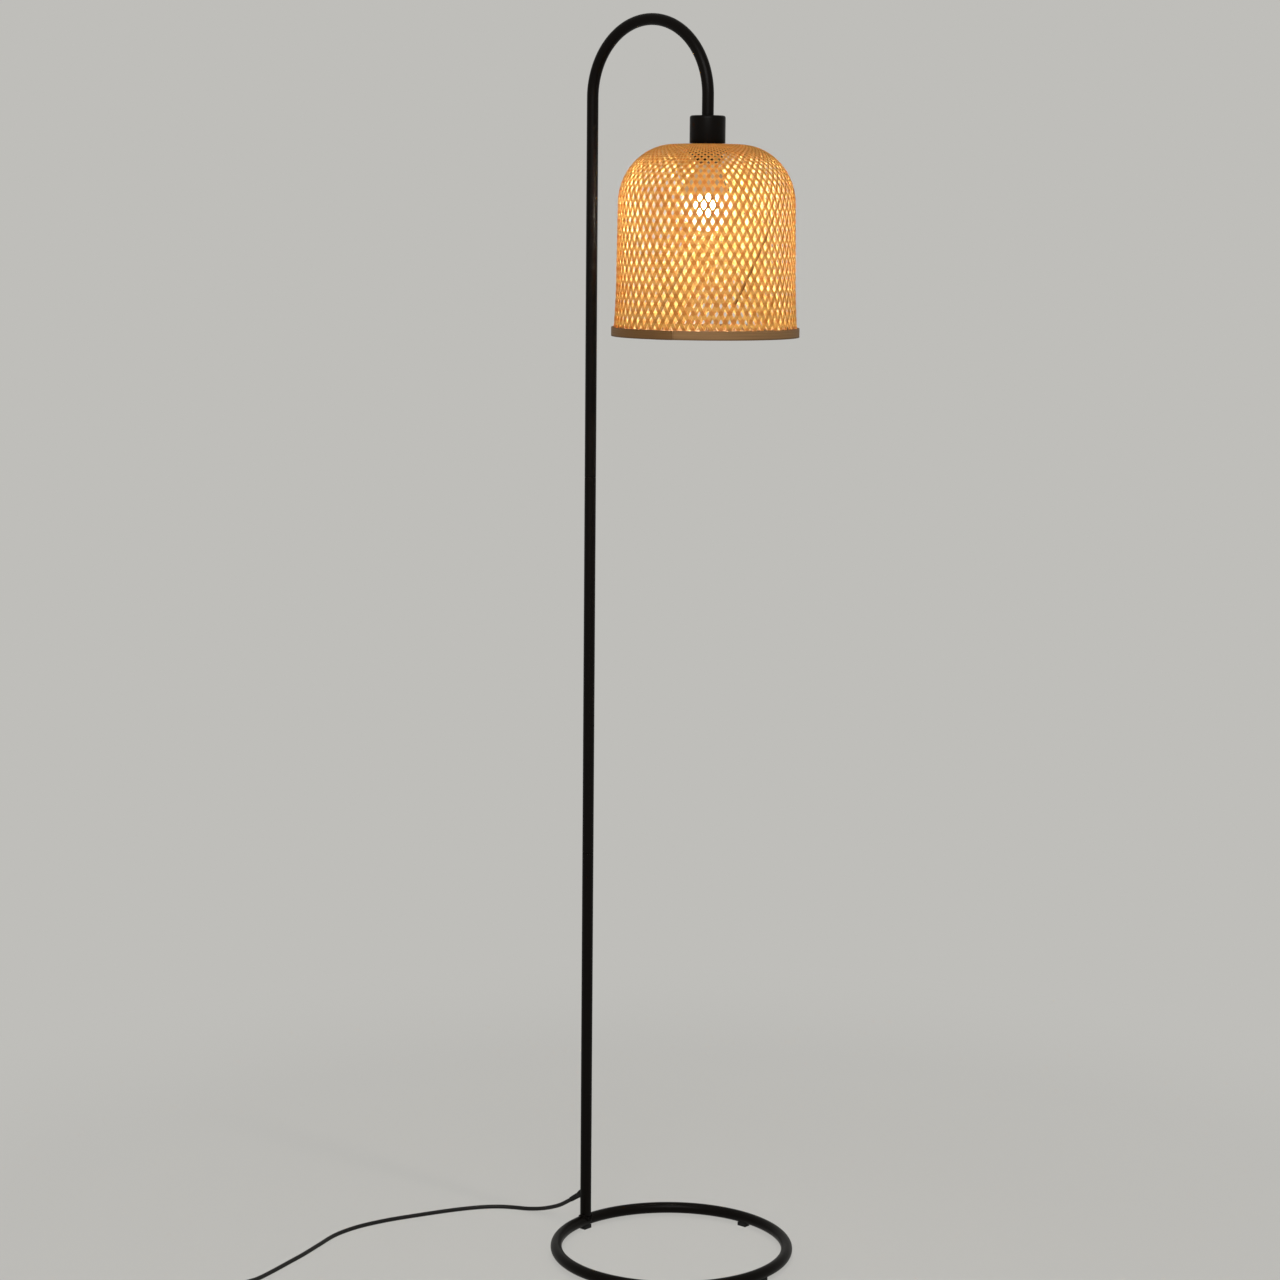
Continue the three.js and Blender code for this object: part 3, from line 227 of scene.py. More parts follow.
def rectangle(left, right, bottom, top):
    return [(left, bottom), (right, bottom), (right, top), (left, top)]


def softened(outline, radius, steps=3):
    """A closed outline of (across, up) points with its corners rounded, all alike or each its own way."""
    points = np.array(outline, float)
    radii, counts = (np.broadcast_to(value, len(points)) for value in (radius, steps))
    neighbours = zip(np.roll(points, 1, 0), points, np.roll(points, -1, 0), radii, counts)
    soft = []
    for before, corner, after, most, count in neighbours:
        back, ahead = before - corner, after - corner
        reach = min(most, 0.45 * np.linalg.norm(back), 0.45 * np.linalg.norm(ahead))
        start = corner + back / np.linalg.norm(back) * reach
        end = corner + ahead / np.linalg.norm(ahead) * reach
        for t in np.arange(count + 1) / count:
            soft.append((1 - t) ** 2 * start + 2 * t * (1 - t) * corner + t ** 2 * end)
    return np.array(soft)


def turned(profile, sides):
    """The closed skin of a (radius, height) profile turned about the head's upright axis."""
    return skin([[(HEAD_X + x, y, z) for x, y in round_section(r, sides)] for r, z in profile], True)


def path_frames(points):
    """Direction, side and up along a path, carried on without twist."""
    points = np.array(points, float)
    steps = np.diff(points, axis=0)
    steps /= np.linalg.norm(steps, axis=1)[:, None]
    ahead = np.vstack([steps[:1], steps[:-1] + steps[1:], steps[-1:]])
    ahead /= np.linalg.norm(ahead, axis=1)[:, None]
    start = np.cross(ahead[0], (0, 1, 0) if abs(ahead[0][1]) < 0.9 else (0, 0, 1))
    side = start / np.linalg.norm(start)
    sides = []
    for direction in ahead:
        side = side - direction * side.dot(direction)
        side /= np.linalg.norm(side)
        sides.append(side)
    sides = np.array(sides)
    return points, ahead, sides, np.cross(ahead, sides)


def swept(points, section):
    """Rings of a section carried along a path."""
    points, _, sides, ups = path_frames(points)
    return [at + section[:, :1] * side + section[:, 1:] * up for at, side, up in zip(points, sides, ups)]


def pipe(points, radius, bore):
    """Rings of a tube along a path: out along its outside and back along its bore, its lips eased."""
    ease, sides = 0.25, 32
    outside = swept(points, round_section(radius, sides))
    inside = swept(points, round_section(bore, sides))
    points, ahead, _, _ = path_frames(points)
    lips = [swept(points, round_section(r, sides)) for r in (radius - ease, bore + ease)]
    outside[0] += ahead[0] * ease
    outside[-1] -= ahead[-1] * ease
    inside[0] += ahead[0] * ease
    inside[-1] -= ahead[-1] * ease
    return [lips[0][0], *outside, lips[0][-1], lips[1][-1], *inside[::-1], lips[1][0]]


def skin(rings, joined=False):
    """Corners and faces of a stack of rings, capped at its ends or joined end to end."""
    count, sides = len(rings), len(rings[0])
    faces = []
    for i in range(count if joined else count - 1):
        j = (i + 1) % count
        for k in range(sides):
            m = (k + 1) % sides
            faces.append((i * sides + k, i * sides + m, j * sides + m, j * sides + k))
    if not joined:
        faces.append(tuple(reversed(range(sides))))
        faces.append(tuple(range((count - 1) * sides, count * sides)))
    return np.concatenate([np.array(ring, float) for ring in rings]), faces


def make(name, skins, finish, *nodes, slot=None, body="stand", crease=38):
    """A piece of closed skins in millimetres that stands for CAD nodes; the slot it is given is not used.
    """
    work = bmesh.new()
    for corners, faces in skins:
        placed = [work.verts.new(Vector(corner) * MM) for corner in corners]
        for face in faces:
            work.faces.new([placed[i] for i in face])
    bmesh.ops.remove_doubles(work, verts=work.verts, dist=1e-8)
    bmesh.ops.recalc_face_normals(work, faces=work.faces)
    piece = finished(name, work, finish, crease)
    return ridden(piece, nodes, finish if slot is None else slot, body)


def finished(name, work, finish, crease):
    """Turns a bmesh into a smooth-shaded object."""
    mesh = bpy.data.meshes.new(name)
    work.to_mesh(mesh)
    work.free()
    mesh.shade_smooth()
    mesh.set_sharp_from_angle(angle=math.radians(crease))
    mesh.materials.append(finish_of(finish))
    piece = bpy.data.objects.new(name, mesh)
    bpy.context.scene.collection.objects.link(piece)
    return piece


def ridden(piece, nodes, slot, body="stand"):
    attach(piece, body)
    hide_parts(*nodes)
    return piece


def edged_copy(name, node, finish, edge):
    """A copy of a CAD node with its corners merged and its edges rounded."""
    work = bmesh.new()
    work.from_mesh(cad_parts[node].data)
    bmesh.ops.remove_doubles(work, verts=work.verts, dist=2e-6)
    bmesh.ops.dissolve_limit(work, angle_limit=math.radians(2), verts=work.verts, edges=work.edges)
    sharp = [e for e in work.edges if len(e.link_faces) == 2 and e.calc_face_angle() > math.radians(40)]
    bmesh.ops.bevel(
        work, geom=sharp, offset=edge * MM, segments=2, profile=0.5, affect="EDGES", clamp_overlap=True
    )
    return ridden(finished(name, work, finish, 50), (node,), finish)


def curved(points):
    """Evenly spaced points along the smooth curve through a route."""
    points = np.array(points, float)
    knots = np.vstack([2 * points[0] - points[1], points, 2 * points[-1] - points[-2]])
    dense = []
    for a, b, c, d in zip(knots, knots[1:], knots[2:], knots[3:]):
        t0, t1, t2 = (max(np.linalg.norm(q - p) ** 0.5, 1e-4) for p, q in ((a, b), (b, c), (c, d)))
        leave = ((b - a) / t0 - (c - a) / (t0 + t1) + (c - b) / t1) * t1
        arrive = ((c - b) / t1 - (d - b) / (t1 + t2) + (d - c) / t2) * t1
        for t in np.arange(24) / 24:
            dense.append(
                (2 * t ** 3 - 3 * t ** 2 + 1) * b + (t ** 3 - 2 * t ** 2 + t) * leave
                + (3 * t ** 2 - 2 * t ** 3) * c + (t ** 3 - t ** 2) * arrive
            )
    dense.append(points[-1])
    dense = np.array(dense)
    reach = np.concatenate([[0], np.cumsum(np.linalg.norm(np.diff(dense, axis=0), axis=1))])
    places = np.linspace(0, reach[-1], max(2, round(reach[-1] / CORD_STEP)) + 1)
    return np.stack([np.interp(places, reach, dense[:, i]) for i in range(3)], axis=1)


def eased(share):
    share = np.clip(share, 0, 1)
    return share * share * (3 - 2 * share)


# Node trees


class Number:
    """A number in a node tree, whose sums and products are Math nodes."""

    def __init__(self, graph, socket):
        self.graph = graph
        self.socket = socket

    def __add__(self, other):
        return self.graph.math("ADD", self, other)

    def __sub__(self, other):
        return self.graph.math("SUBTRACT", self, other)

    def __mul__(self, other):
        return self.graph.math("MULTIPLY", self, other)

    def __truediv__(self, other):
        return self.graph.math("DIVIDE", self, other)


class Graph:
    """Adds nodes to a tree and joins them."""

    def __init__(self, tree):
        self.tree = tree

    def give(self, socket, value):
        if isinstance(value, Number):
            value = value.socket
        if isinstance(value, bpy.types.Node):
            value = value.outputs[0]
        if isinstance(value, bpy.types.NodeSocket):
            self.tree.links.new(value, socket)
        else:
            socket.default_value = value

    def add(self, kind, inputs=None, **settings):
        node = self.tree.nodes.new(kind)
        for name, value in settings.items():
            setattr(node, name, value)
        for key, value in (inputs or {}).items():
            self.give(node.inputs[key], value)
        return node

    def number(self, node, output=0):
        return Number(self, node.outputs[output])

    def math(self, operation, *values):
        return self.number(self.add("ShaderNodeMath", dict(enumerate(values)), operation=operation))

    def point(self, x, y, z):
        return self.add("ShaderNodeCombineXYZ", {0: x, 1: y, 2: z})

    def parts(self, place):
        return [Number(self, socket) for socket in self.add("ShaderNodeSeparateXYZ", {0: place}).outputs]

    def attribute(self, name):
        return self.number(self.add("ShaderNodeAttribute", attribute_name=name), "Fac")

    def place(self, stretch=None):
        """Where a point of the piece is, stretched or not."""
        place = self.add("ShaderNodeTexCoord").outputs["Object"]
        return self.add("ShaderNodeMapping", {"Vector": place, "Scale": stretch}) if stretch else place

    def noise(self, place, scale, detail=2.0, roughness=0.5):
        inputs = {"Vector": place, "Scale": scale, "Detail": detail, "Roughness": roughness}
        return self.number(self.add("ShaderNodeTexNoise", inputs), "Fac")

    def between(self, share, low, high, start=0.0, end=1.0, kind="LINEAR"):
        """A number that goes from low to high as the share goes from start to end."""
        inputs = {"Value": share, "From Min": start, "From Max": end, "To Min": low, "To Max": high}
        return self.number(self.add("ShaderNodeMapRange", inputs, interpolation_type=kind), "Result")

    def step(self, share, start, end, low=0.0, high=1.0):
        return self.between(share, low, high, start, end, "SMOOTHSTEP")

    def tint(self, share, first, second):
        node = self.add("ShaderNodeMix", data_type="RGBA")
        for socket, value in zip((node.inputs[0], node.inputs[6], node.inputs[7]), (share, first, second)):
            self.give(socket, (*value, 1.0) if isinstance(value, tuple) else value)
        return node.outputs[2]

    def mix(self, share, first, second, output):
        """Sends a mix of two shaders to the tree's output."""
        mixed = self.add("ShaderNodeMixShader", {0: share, 1: first, 2: second})
        self.give(self.tree.nodes[output].inputs["Surface"], mixed)

    def dress(self, shader, colour, roughness, specular, relief, strength, depth):
        """Gives a shader its colour, roughness, gloss and a fine relief this many millimetres deep."""
        self.give(shader.inputs["Base Color"], colour)
        self.give(shader.inputs["Roughness"], roughness)
        self.give(shader.inputs["Specular IOR Level"], specular)
        bump = self.add("ShaderNodeBump", {"Strength": strength, "Distance": depth * MM, "Height": relief})
        self.give(shader.inputs["Normal"], bump)


def new_material(name):
    material = bpy.data.materials.new(name)
    material.use_nodes = True
    return material, Graph(material.node_tree), material.node_tree.nodes["Principled BSDF"]


def scaled(values, factor):
    """A colour or a place times one number, or times one for each of its three."""
    return tuple(np.multiply(values, factor).tolist())


def surface(
    name, colour, shade, roughness, patch, grit, depth, metallic=0.0, specular=0.5, stretch=(1, 1, 1)
):
    """A finish whose colour drifts over patches and whose skin has a fine grit, sizes in millimetres."""
    material, graph, shader = new_material(name)
    place = graph.place(stretch)
    drift = graph.noise(place, 1 / (patch * MM), 3.0, 0.6)
    fine = graph.noise(place, 1 / (grit * MM), 2.0, 0.5)
    rough = graph.between(drift * 0.5 + fine * 0.5, roughness - 0.1, roughness + 0.1)
    graph.dress(shader, graph.tint(drift, tuple(colour), tuple(shade)), rough, specular, fine, 1.0, depth)
    graph.give(shader.inputs["Metallic"], metallic)
    return material


def strip_material(colour, lit, strips):
    """Thin split bamboo: fibres along the strip, tone from strip to strip, and light through it."""
    material, graph, shader = new_material("bamboo_strip")
    along, across, strip, edge_shadowed, turn = (
        graph.attribute(name) for name in ("along", "across", "strip", "edge_shadow", "turn")
    )
    fibre = graph.noise(graph.point(along * 22.0, across * 3.2, strip), 1.0, 4.0, 0.65)
    blotch = graph.noise(graph.point(along * 9.0, 0.0, strip), 1.0, 1.0)
    tone = graph.number(graph.add("ShaderNodeTexWhiteNoise", {"W": strip}, noise_dimensions="1D"), "Value")

    def dressed(light):
        warm, worn = scaled(light, (0.95, 0.86, 0.72)), scaled(light, (0.86, 0.68, 0.46))
        toned = graph.tint(tone, light, warm)
        streaked = graph.tint(graph.between(fibre, -0.35, 0.9), toned, worn)
        blotched = graph.tint(graph.between(blotch, -0.5, 0.55), streaked, worn)
        # Painted shadow along one edge of a few strips.
        return graph.tint(edge_shadowed, blotched, EDGE_SHADOW_COLOUR)

    graph.dress(shader, dressed(tuple(colour)), graph.between(fibre, 0.42, 0.62), 0.15, fibre, 0.6, 0.12)
    # Painted shade: the light through a strip is painted a deeper colour where a strip from the other side
    # lies over this one.
    crossing = graph.math("ABSOLUTE", graph.math("COSINE", turn * float(strips)))
    deep = scaled(lit, (0.86, 0.62, 0.42))
    through_with_crossing_shade = graph.tint(graph.step(crossing, 0.55, 0.85), dressed(tuple(lit)), dressed(deep))
    through = graph.add("ShaderNodeBsdfTranslucent", {"Color": through_with_crossing_shade})
    graph.mix(0.64, shader, through, "Material Output")
    return material


def hoop_material(colour):
    """Bent bamboo of the rim: long fibres round the hoop, with painted shade at its lower edge and over the
    arc before its end.
    """
    material, graph, shader = new_material("bamboo_hoop")
    fibre = graph.noise(graph.place((9.0, 9.0, 420.0)), 1.0, 5.0, 0.7)
    patch = graph.noise(graph.place((14.0, 14.0, 60.0)), 1.0, 2.0)
    x, y, height = graph.parts(graph.place())
    angle = graph.math("ARCTAN2", y, x - HEAD_X * MM)
    before_end = graph.math("SUBTRACT", math.radians(SEAM_ANGLE + LAP_ANGLE), angle)
    # Painted shade, full just before the outer hoop's lapped end and fading out over the arc before it.
    end = graph.math("GREATER_THAN", before_end, 0.0) * graph.step(before_end, 1.3, 0.4)
    # Painted shade along the hoop's lower edge.
    low = graph.between(height, 0.0, 1.0, (RIM_BOTTOM + 2.4) * MM, RIM_BOTTOM * MM)
    streaked = graph.tint(graph.between(fibre, -0.4, 1.3), scaled(colour, 1.3), scaled(colour, 0.55))
    patched = graph.tint(graph.between(patch, -0.3, 0.8), streaked, tuple(colour))
    arc_shaded = graph.tint(end * 0.75, patched, scaled(colour, (0.5, 0.42, 0.3)))
    low_edge_shaded = graph.tint(low * 0.75, arc_shaded, scaled(colour, 0.32))
    graph.dress(shader, low_edge_shaded, graph.between(fibre, 0.45, 0.7), 0.12, fibre, 0.7, 0.2)
    return material


def globe_material(colour, strength):
    """Opal glass lit from inside, far dimmer round its outline."""
    material, graph, shader = new_material("opal_globe")
    haze = graph.noise(graph.place(), 60.0, 1.0)
    outline = graph.number(graph.add("ShaderNodeLayerWeight", {"Blend": 0.5}), "Facing")
    edge = graph.step(outline, 0.0, 0.12)
    graph.give(shader.inputs["Emission Color"], graph.tint(edge, tuple(colour), scaled(colour, 0.0009)))
    graph.give(shader.inputs["Base Color"], graph.tint(haze, (0.9, 0.88, 0.84), (0.82, 0.79, 0.73)))
    graph.give(shader.inputs["Roughness"], graph.between(haze, 0.22, 0.32))
    graph.give(shader.inputs["Emission Strength"], strength)
    return material


FINISHES = {}

# A finish's two colours, its roughness, and the sizes of its patches, grit and relief in millimetres.
PLAIN_FINISHES = {
    "black_plastic": ((0.010, 0.0098, 0.0095), (0.016, 0.0155, 0.015), 0.44, 18, 0.5, 0.012),
    "black_rubber": ((0.012, 0.012, 0.0125), (0.02, 0.0195, 0.019), 0.72, 7, 0.35, 0.03),
    "tie_webbing": ((0.012, 0.012, 0.013), (0.03, 0.03, 0.031), 0.85, 1.2, 0.45, 0.15),
    "steel": ((0.50, 0.49, 0.47), (0.36, 0.35, 0.335), 0.34, 6, 0.6, 0.01),
    "nickel": ((0.62, 0.60, 0.56), (0.50, 0.485, 0.45), 0.26, 8, 0.8, 0.006),
    "brass": ((0.62, 0.42, 0.16), (0.42, 0.26, 0.09), 0.32, 5, 0.7, 0.008),
    "white_plastic": ((0.80, 0.79, 0.76), (0.74, 0.725, 0.69), 0.38, 14, 0.6, 0.01),
    "black_insulator": ((0.016, 0.013, 0.012), (0.028, 0.022, 0.02), 0.15, 4, 1.0, 0.01),
    "brown_core": ((0.13, 0.05, 0.02), (0.09, 0.035, 0.015), 0.5, 4, 0.5, 0.01),
    "blue_core": ((0.025, 0.1, 0.32), (0.018, 0.07, 0.24), 0.5, 4, 0.5, 0.01),
}
FINISH_EXTRAS = {
    "black_plastic": {"specular": 0.18},
    "black_rubber": {"specular": 0.15},
    "tie_webbing": {"specular": 0.25, "stretch": (1, 1, 2.5)},
    "steel": {"metallic": 1.0, "stretch": (1, 1, 0.2)},
    "nickel": {"metallic": 1.0},
    "brass": {"metallic": 1.0},
}


def finish_of(name):
    """The lamp's finishes, made when first asked for."""
    if not FINISHES:
        chosen = bpy.context.scene.lamp_finishes
        paint, sheath = chosen.paint, chosen.sheath
        strips = bpy.context.scene.lamp_weave.strips
        FINISHES.update({
            "black_paint": surface(
                "black_paint", paint, scaled(paint, 1.4), 0.36, 60, 1.4, 0.008, specular=0.07
            ),
            "black_sheath": surface(
                "black_sheath", sheath, scaled(sheath, 1.7), 0.46, 25, 0.7, 0.012, specular=0.2
            ),
            "bamboo_strip": strip_material(chosen.bamboo, chosen.lit_bamboo, strips),
            "bamboo_hoop": hoop_material(chosen.rim),
            "opal_globe": globe_material(chosen.glow, chosen.glow_strength),
        })
        for plain, values in PLAIN_FINISHES.items():
            FINISHES[plain] = surface(plain, *values, **FINISH_EXTRAS.get(plain, {}))
    return FINISHES[name]


# Camera


class FLOORLAMP_OT_camera(bpy.types.Operator):
    """Sets up the camera at the photograph's viewing angle"""

    bl_idname = "floor_lamp.camera"
    bl_label = "Camera"

    def execute(self, context):
        across, along = CAMERA_HEADING
        reach = math.cos(CAMERA_TILT)
        ahead = Vector((across * reach, along * reach, -math.sin(CAMERA_TILT))).normalized()
        level = Vector((along, -across, 0.0)).normalized()
        upright = level.cross(ahead)
        right = level * math.cos(CAMERA_ROLL) + upright * math.sin(CAMERA_ROLL)
        up = upright * math.cos(CAMERA_ROLL) - level * math.sin(CAMERA_ROLL)
        data = bpy.data.cameras.new("camera")
        data.sensor_fit = "HORIZONTAL"
        data.sensor_width = 36.0
        data.lens = context.scene.lamp_studio.lens
        data.clip_start = 0.05
        data.clip_end = 60.0
        camera = bpy.data.objects.new("camera", data)
        context.scene.collection.objects.link(camera)
        turn = Matrix((right, up, -ahead)).transposed()
        camera.matrix_world = Matrix.Translation(CAMERA_PLACE) @ turn.to_4x4()
        context.scene.camera = camera
        return {"FINISHED"}


# Cords and the pieces on them


def outlet_point(reach):
    """A point on the outlet's axis, this far outside the pole."""
    return (
        POLE_X - TUBE_RADIUS - reach * math.cos(OUTLET_SLOPE), 0.0,
        OUTLET_HEIGHT - reach * math.sin(OUTLET_SLOPE),
    )


def switch_point(along, aside=0.0, z=SWITCH_PARTING + GAP / 2):
    """A point of the foot switch, along and across its length."""
    c, s = math.cos(SWITCH_HEADING), math.sin(SWITCH_HEADING)
    return (SWITCH_X + along * c - aside * s, SWITCH_Y + along * s + aside * c, z)


def in_switch(points):
    return np.array([switch_point(*point) for point in points])


def in_plug(points):
    return np.array(points, float) + (PLUG_X, PLUG_Y, 0)


def coil_points(steps_per_turn):
    """Spirals in, climbs a layer in the middle half turn and spirals out again."""
    turn = np.linspace(0, COIL_TURNS, round(COIL_TURNS * steps_per_turn) + 1)
    radius = COIL_RADIUS - COIL_PITCH * np.minimum(turn, COIL_TURNS - turn)
    angle = np.radians(COIL_START - 360 * turn)
    climb = eased((turn - COIL_TURNS / 2 + 0.25) / 0.5)
    return np.stack(
        [COIL_X + radius * np.cos(angle), COIL_Y + radius * np.sin(angle), COIL_LOW + COIL_PITCH * climb],
        axis=1,
    )


def beyond(end, inner, reach):
    """The point this far past the end of a path, in line with its last step."""
    step = np.array(end) - np.array(inner)
    return tuple(np.array(end) + step / np.linalg.norm(step) * reach)


def cord_piece(name, points, *nodes):
    rings = swept(points, round_section(CORD_RADIUS - 0.02, 16))
    return make(name, [skin(rings)], "black_sheath", *nodes)


def grooves(places, radius, start, taper, rows):
    """Moulded grooves in a sleeve that thins from its start on, given as rows of (depth, reach)."""
    return [(radius - taper * (at - start) - deep, at + past) for at in places for deep, past in rows]


def boot(name, node, place):
    """A tapered sleeve with moulded grooves and a mouth for the cord."""
    groove = ((0, 0), (0.55, 0.4), (0.55, 1.2), (0.12, 1.6))
    profile = [
        (0.6, -2.7), (3.4, -2.7), (3.4, 0.45), (4.1, 0.45), (4.45, 0.8),
        *grooves(np.arange(3.0, 18.4, 3.1), 4.5, 0.3, 1.2 / 21.7, groove),
        (3.42, 20.4), (3.25, BOOT_LENGTH - 0.3), (3.0, BOOT_LENGTH), (2.72, BOOT_LENGTH),
        (2.64, 20.6), (0.6, 20.6),
    ]
    rings = [place([(reach, y, z) for y, z in round_section(r, 32)]) for r, reach in profile]
    return make(name, [skin(rings)], "black_rubber", node, crease=50)


class FLOORLAMP_OT_cords(bpy.types.Operator):
    """Lays the cord from the pole to the foot switch and on through its coil to the plug"""

    bl_idname = "floor_lamp.cords"
    bl_label = "Cords"

    def execute(self, context):
        tip, half = SLEEVE_LENGTH + GAP, SWITCH_LENGTH / 2 + BOOT_LENGTH
        straight = GAP + 2 * CORD_RADIUS
        run = curved([
            outlet_point(GAP), outlet_point(tip), outlet_point(tip + 2 * CORD_RADIUS), *CORD_RUN,
            switch_point(-half - straight), switch_point(-half + 1),
        ])
        turns = coil_points(40)
        link = curved([
            switch_point(half - 1), switch_point(half + straight), *CORD_LINK,
            beyond(turns[0], turns[1], straight), turns[0],
        ])
        tail = curved([
            turns[-1], beyond(turns[-1], turns[-2], straight),
            (PLUG_X - BOOT_LENGTH - straight, PLUG_Y, PLUG_MIDDLE),
            (PLUG_X - BOOT_LENGTH + 1, PLUG_Y, PLUG_MIDDLE),
        ])
        rest = np.concatenate([link[:-1], turns, tail[1:]])
        to_switch = cord_piece("cord_to_switch", run, "cord_run")
        to_plug = cord_piece("cord_to_plug", rest, "cord_link", "cord_coil", "cord_tail")
        self.boots()
        self.tie()
        scaled(outlet_point(tip), MM)
        scaled(switch_point(half), MM)
        return {"FINISHED"}

    def boots(self):
        """The sleeves at both ends of the switch and at the plug."""
        end, middle = SWITCH_LENGTH / 2, SWITCH_PARTING + GAP / 2

        def near(ring):
            return in_switch([(-end - x, -y, middle + z) for x, y, z in ring])

        def far(ring):
            return in_switch([(end + x, y, middle + z) for x, y, z in ring])

        def at_plug(ring):
            return in_plug([(-x, -y, PLUG_MIDDLE + z) for x, y, z in ring])

        boot("switch_boot_near", "switch_boot_in", near)
        boot("switch_boot_far", "switch_boot_out", far)
        boot("plug_sleeve", "plug_boot", at_plug)

    def tie(self):
        """A soft strap round the bundle of turns."""
        clear, loose = 0.6, 0.4
        outer = COIL_RADIUS + CORD_RADIUS + clear + loose
        inner = COIL_RADIUS - COIL_PITCH * COIL_TURNS / 2 - CORD_RADIUS - clear - loose
        top = COIL_LOW + COIL_PITCH + CORD_RADIUS + GAP + loose
        loop = softened(rectangle(inner, outer, loose, top), 2.6, 6)
        away = loop - loop.mean(0)
        away /= np.linalg.norm(away, axis=1)[:, None]
        strap = softened(rectangle(-3.9, 3.9, -0.38, 0.38), 0.3, 2)
        c, s = math.cos(TIE_ANGLE), math.sin(TIE_ANGLE)
        rings = []
        for (radial, z), (push, lift) in zip(loop, away):
            ring = []
            for across, deep in strap:
                r, up = radial + push * deep, max(0.02, z + lift * deep)
                ring.append((COIL_X + r * c - across * s, COIL_Y + r * s + across * c, up))
            rings.append(ring)
        make("coil_band", [skin(rings, joined=True)], "tie_webbing", "coil_tie", slot="")


# Stand


def weld_bead():
    """A rippled bead in the corner between the pole and the ring."""
    rings = []
    for angle in np.arange(96) * 2 * math.pi / 96:
        c, s = math.cos(angle), math.sin(angle)
        x = POLE_X + (TUBE_RADIUS + 0.7) * c
        y = (TUBE_RADIUS + 0.7) * s
        away = math.hypot(x, y) - RING_RADIUS
        z = RING_HEIGHT + math.sqrt(max((TUBE_RADIUS + 0.5) ** 2 - away ** 2, 0.5))
        radius = 1.25 + 0.14 * math.sin(22 * angle)
        rings.append([(x + out * c, y + out * s, z + up) for out, up in round_section(radius, 12)])
    return skin(rings, joined=True)


def outlet_sleeve():
    """A flange that hugs the pole, and a grooved flare that thins towards the cord."""
    flange = []
    for radius, depth in ((0.5, 0.32), (5.5, 0.32), (5.75, 0.5), (5.75, 0.95), (5.35, 1.28), (0.5, 1.28)):
        flange.append([
            (POLE_X - math.sqrt((TUBE_RADIUS + depth) ** 2 - y * y), y, OUTLET_HEIGHT + z)
            for y, z in round_section(radius, 40)
        ])
    groove = ((0, 0), (0.4, 0.35), (0.4, 1.05), (0.06, 1.4))
    profile = [
        (0.6, 0.2), (4.9, 0.2), (4.85, 1.4), (4.55, 2.6), (4.1, 4.2), (3.72, 6.0),
        *grooves(np.arange(7.4, 19, 2.5), 3.6, 6.0, 0.45 / 16, groove),
        (3.15, 20.6), (3.1, 21.7), (2.9, SLEEVE_LENGTH), (2.7, SLEEVE_LENGTH),
        (2.62, 20.4), (0.6, 20.4),
    ]
    c, s = math.cos(OUTLET_SLOPE), math.sin(OUTLET_SLOPE)
    flare = []
    for r, reach in profile:
        x, _, z = outlet_point(reach)
        flare.append([(x - up * s, y, z + up * c) for y, up in round_section(r, 40)])
    return [skin(flange), skin(flare)]


class FLOORLAMP_OT_stand(bpy.types.Operator):
    """Makes the ring base, its pads, the weld, the pole, the crook and the cord's outlet"""

    bl_idname = "floor_lamp.stand"
    bl_label = "Ring base and pole"

    def execute(self, context):
        rings = [
            [
                ((RING_RADIUS + u) * math.cos(a), (RING_RADIUS + u) * math.sin(a), RING_HEIGHT + v)
                for u, v in round_section(TUBE_RADIUS, 32)
            ]
            for a in np.arange(160) * 2 * math.pi / 160
        ]
        make("base_ring_tube", [skin(rings, joined=True)], "black_paint", "base_ring")
        make("foot_weld_bead", [weld_bead()], "black_paint", "foot_weld")
        for side in ("front", "left", "rear", "right"):
            edged_copy(f"rubber_foot_pad_{side}", f"foot_pad_{side}", "black_rubber", 0.5)
        (low, middle), (upper, crook) = POLE_JOINTS
        self.tube("lower_pole", "pole_lower", self.upright(RING_HEIGHT + 6.5, low))
        self.tube("middle_pole", "pole_middle", self.upright(middle, upper))
        arch = self.upright(crook, SPRINGLINE)[:-1]
        for angle in np.linspace(0, math.pi, 73):
            x = POLE_X + CROOK_RADIUS * (1 - math.cos(angle))
            arch.append((x, 0, SPRINGLINE + CROOK_RADIUS * math.sin(angle)))
        self.tube("crook", "crook_tube", arch + [(HEAD_X, 0, z) for z in (SPRINGLINE - 12, CROOK_END)])
        make("outlet_sleeve", outlet_sleeve(), "black_rubber", "cord_outlet_sleeve", crease=50)
        return {"FINISHED"}

    def upright(self, bottom, top):
        return [(POLE_X, 0, z) for z in np.linspace(bottom, top, 9)]

    def tube(self, name, node, line):
        make(name, [skin(pipe(line, TUBE_RADIUS, TUBE_BORE), True)], "black_paint", node)


# Head: cup, lampholder, shade ring and fitter


def threads(radius, bottom, top, pitch, depth, inside):
    """The profile of a ridged thread, from its lower inside edge round to its upper one."""
    root = radius - depth
    ridge = ((root, 0), (radius, 0.35), (radius, 0.55), (root, 0.9))
    profile = [(inside, bottom), (root, bottom)]
    z = bottom + 0.2
    while z + pitch < top:
        profile += [(r, z + share * pitch) for r, share in ridge]
        z += pitch
    return profile + [(root, top), (inside, top)]


def grip_ring(profile, ridges, depth, low, high, core):
    """A turned ring with grip ridges round its outside between two heights, beyond its core."""
    rings = []
    for r, z in profile:
        ring = []
        for k, (x, y) in enumerate(round_section(1.0, ridges * 6)):
            gripped = low < z < high and r > core
            lowered = depth * (0.5 - 0.5 * math.cos(2 * math.pi * k / 6)) if gripped else 0
            ring.append((HEAD_X + (r - lowered) * x, (r - lowered) * y, z))
        rings.append(ring)
    return skin(rings, joined=True)


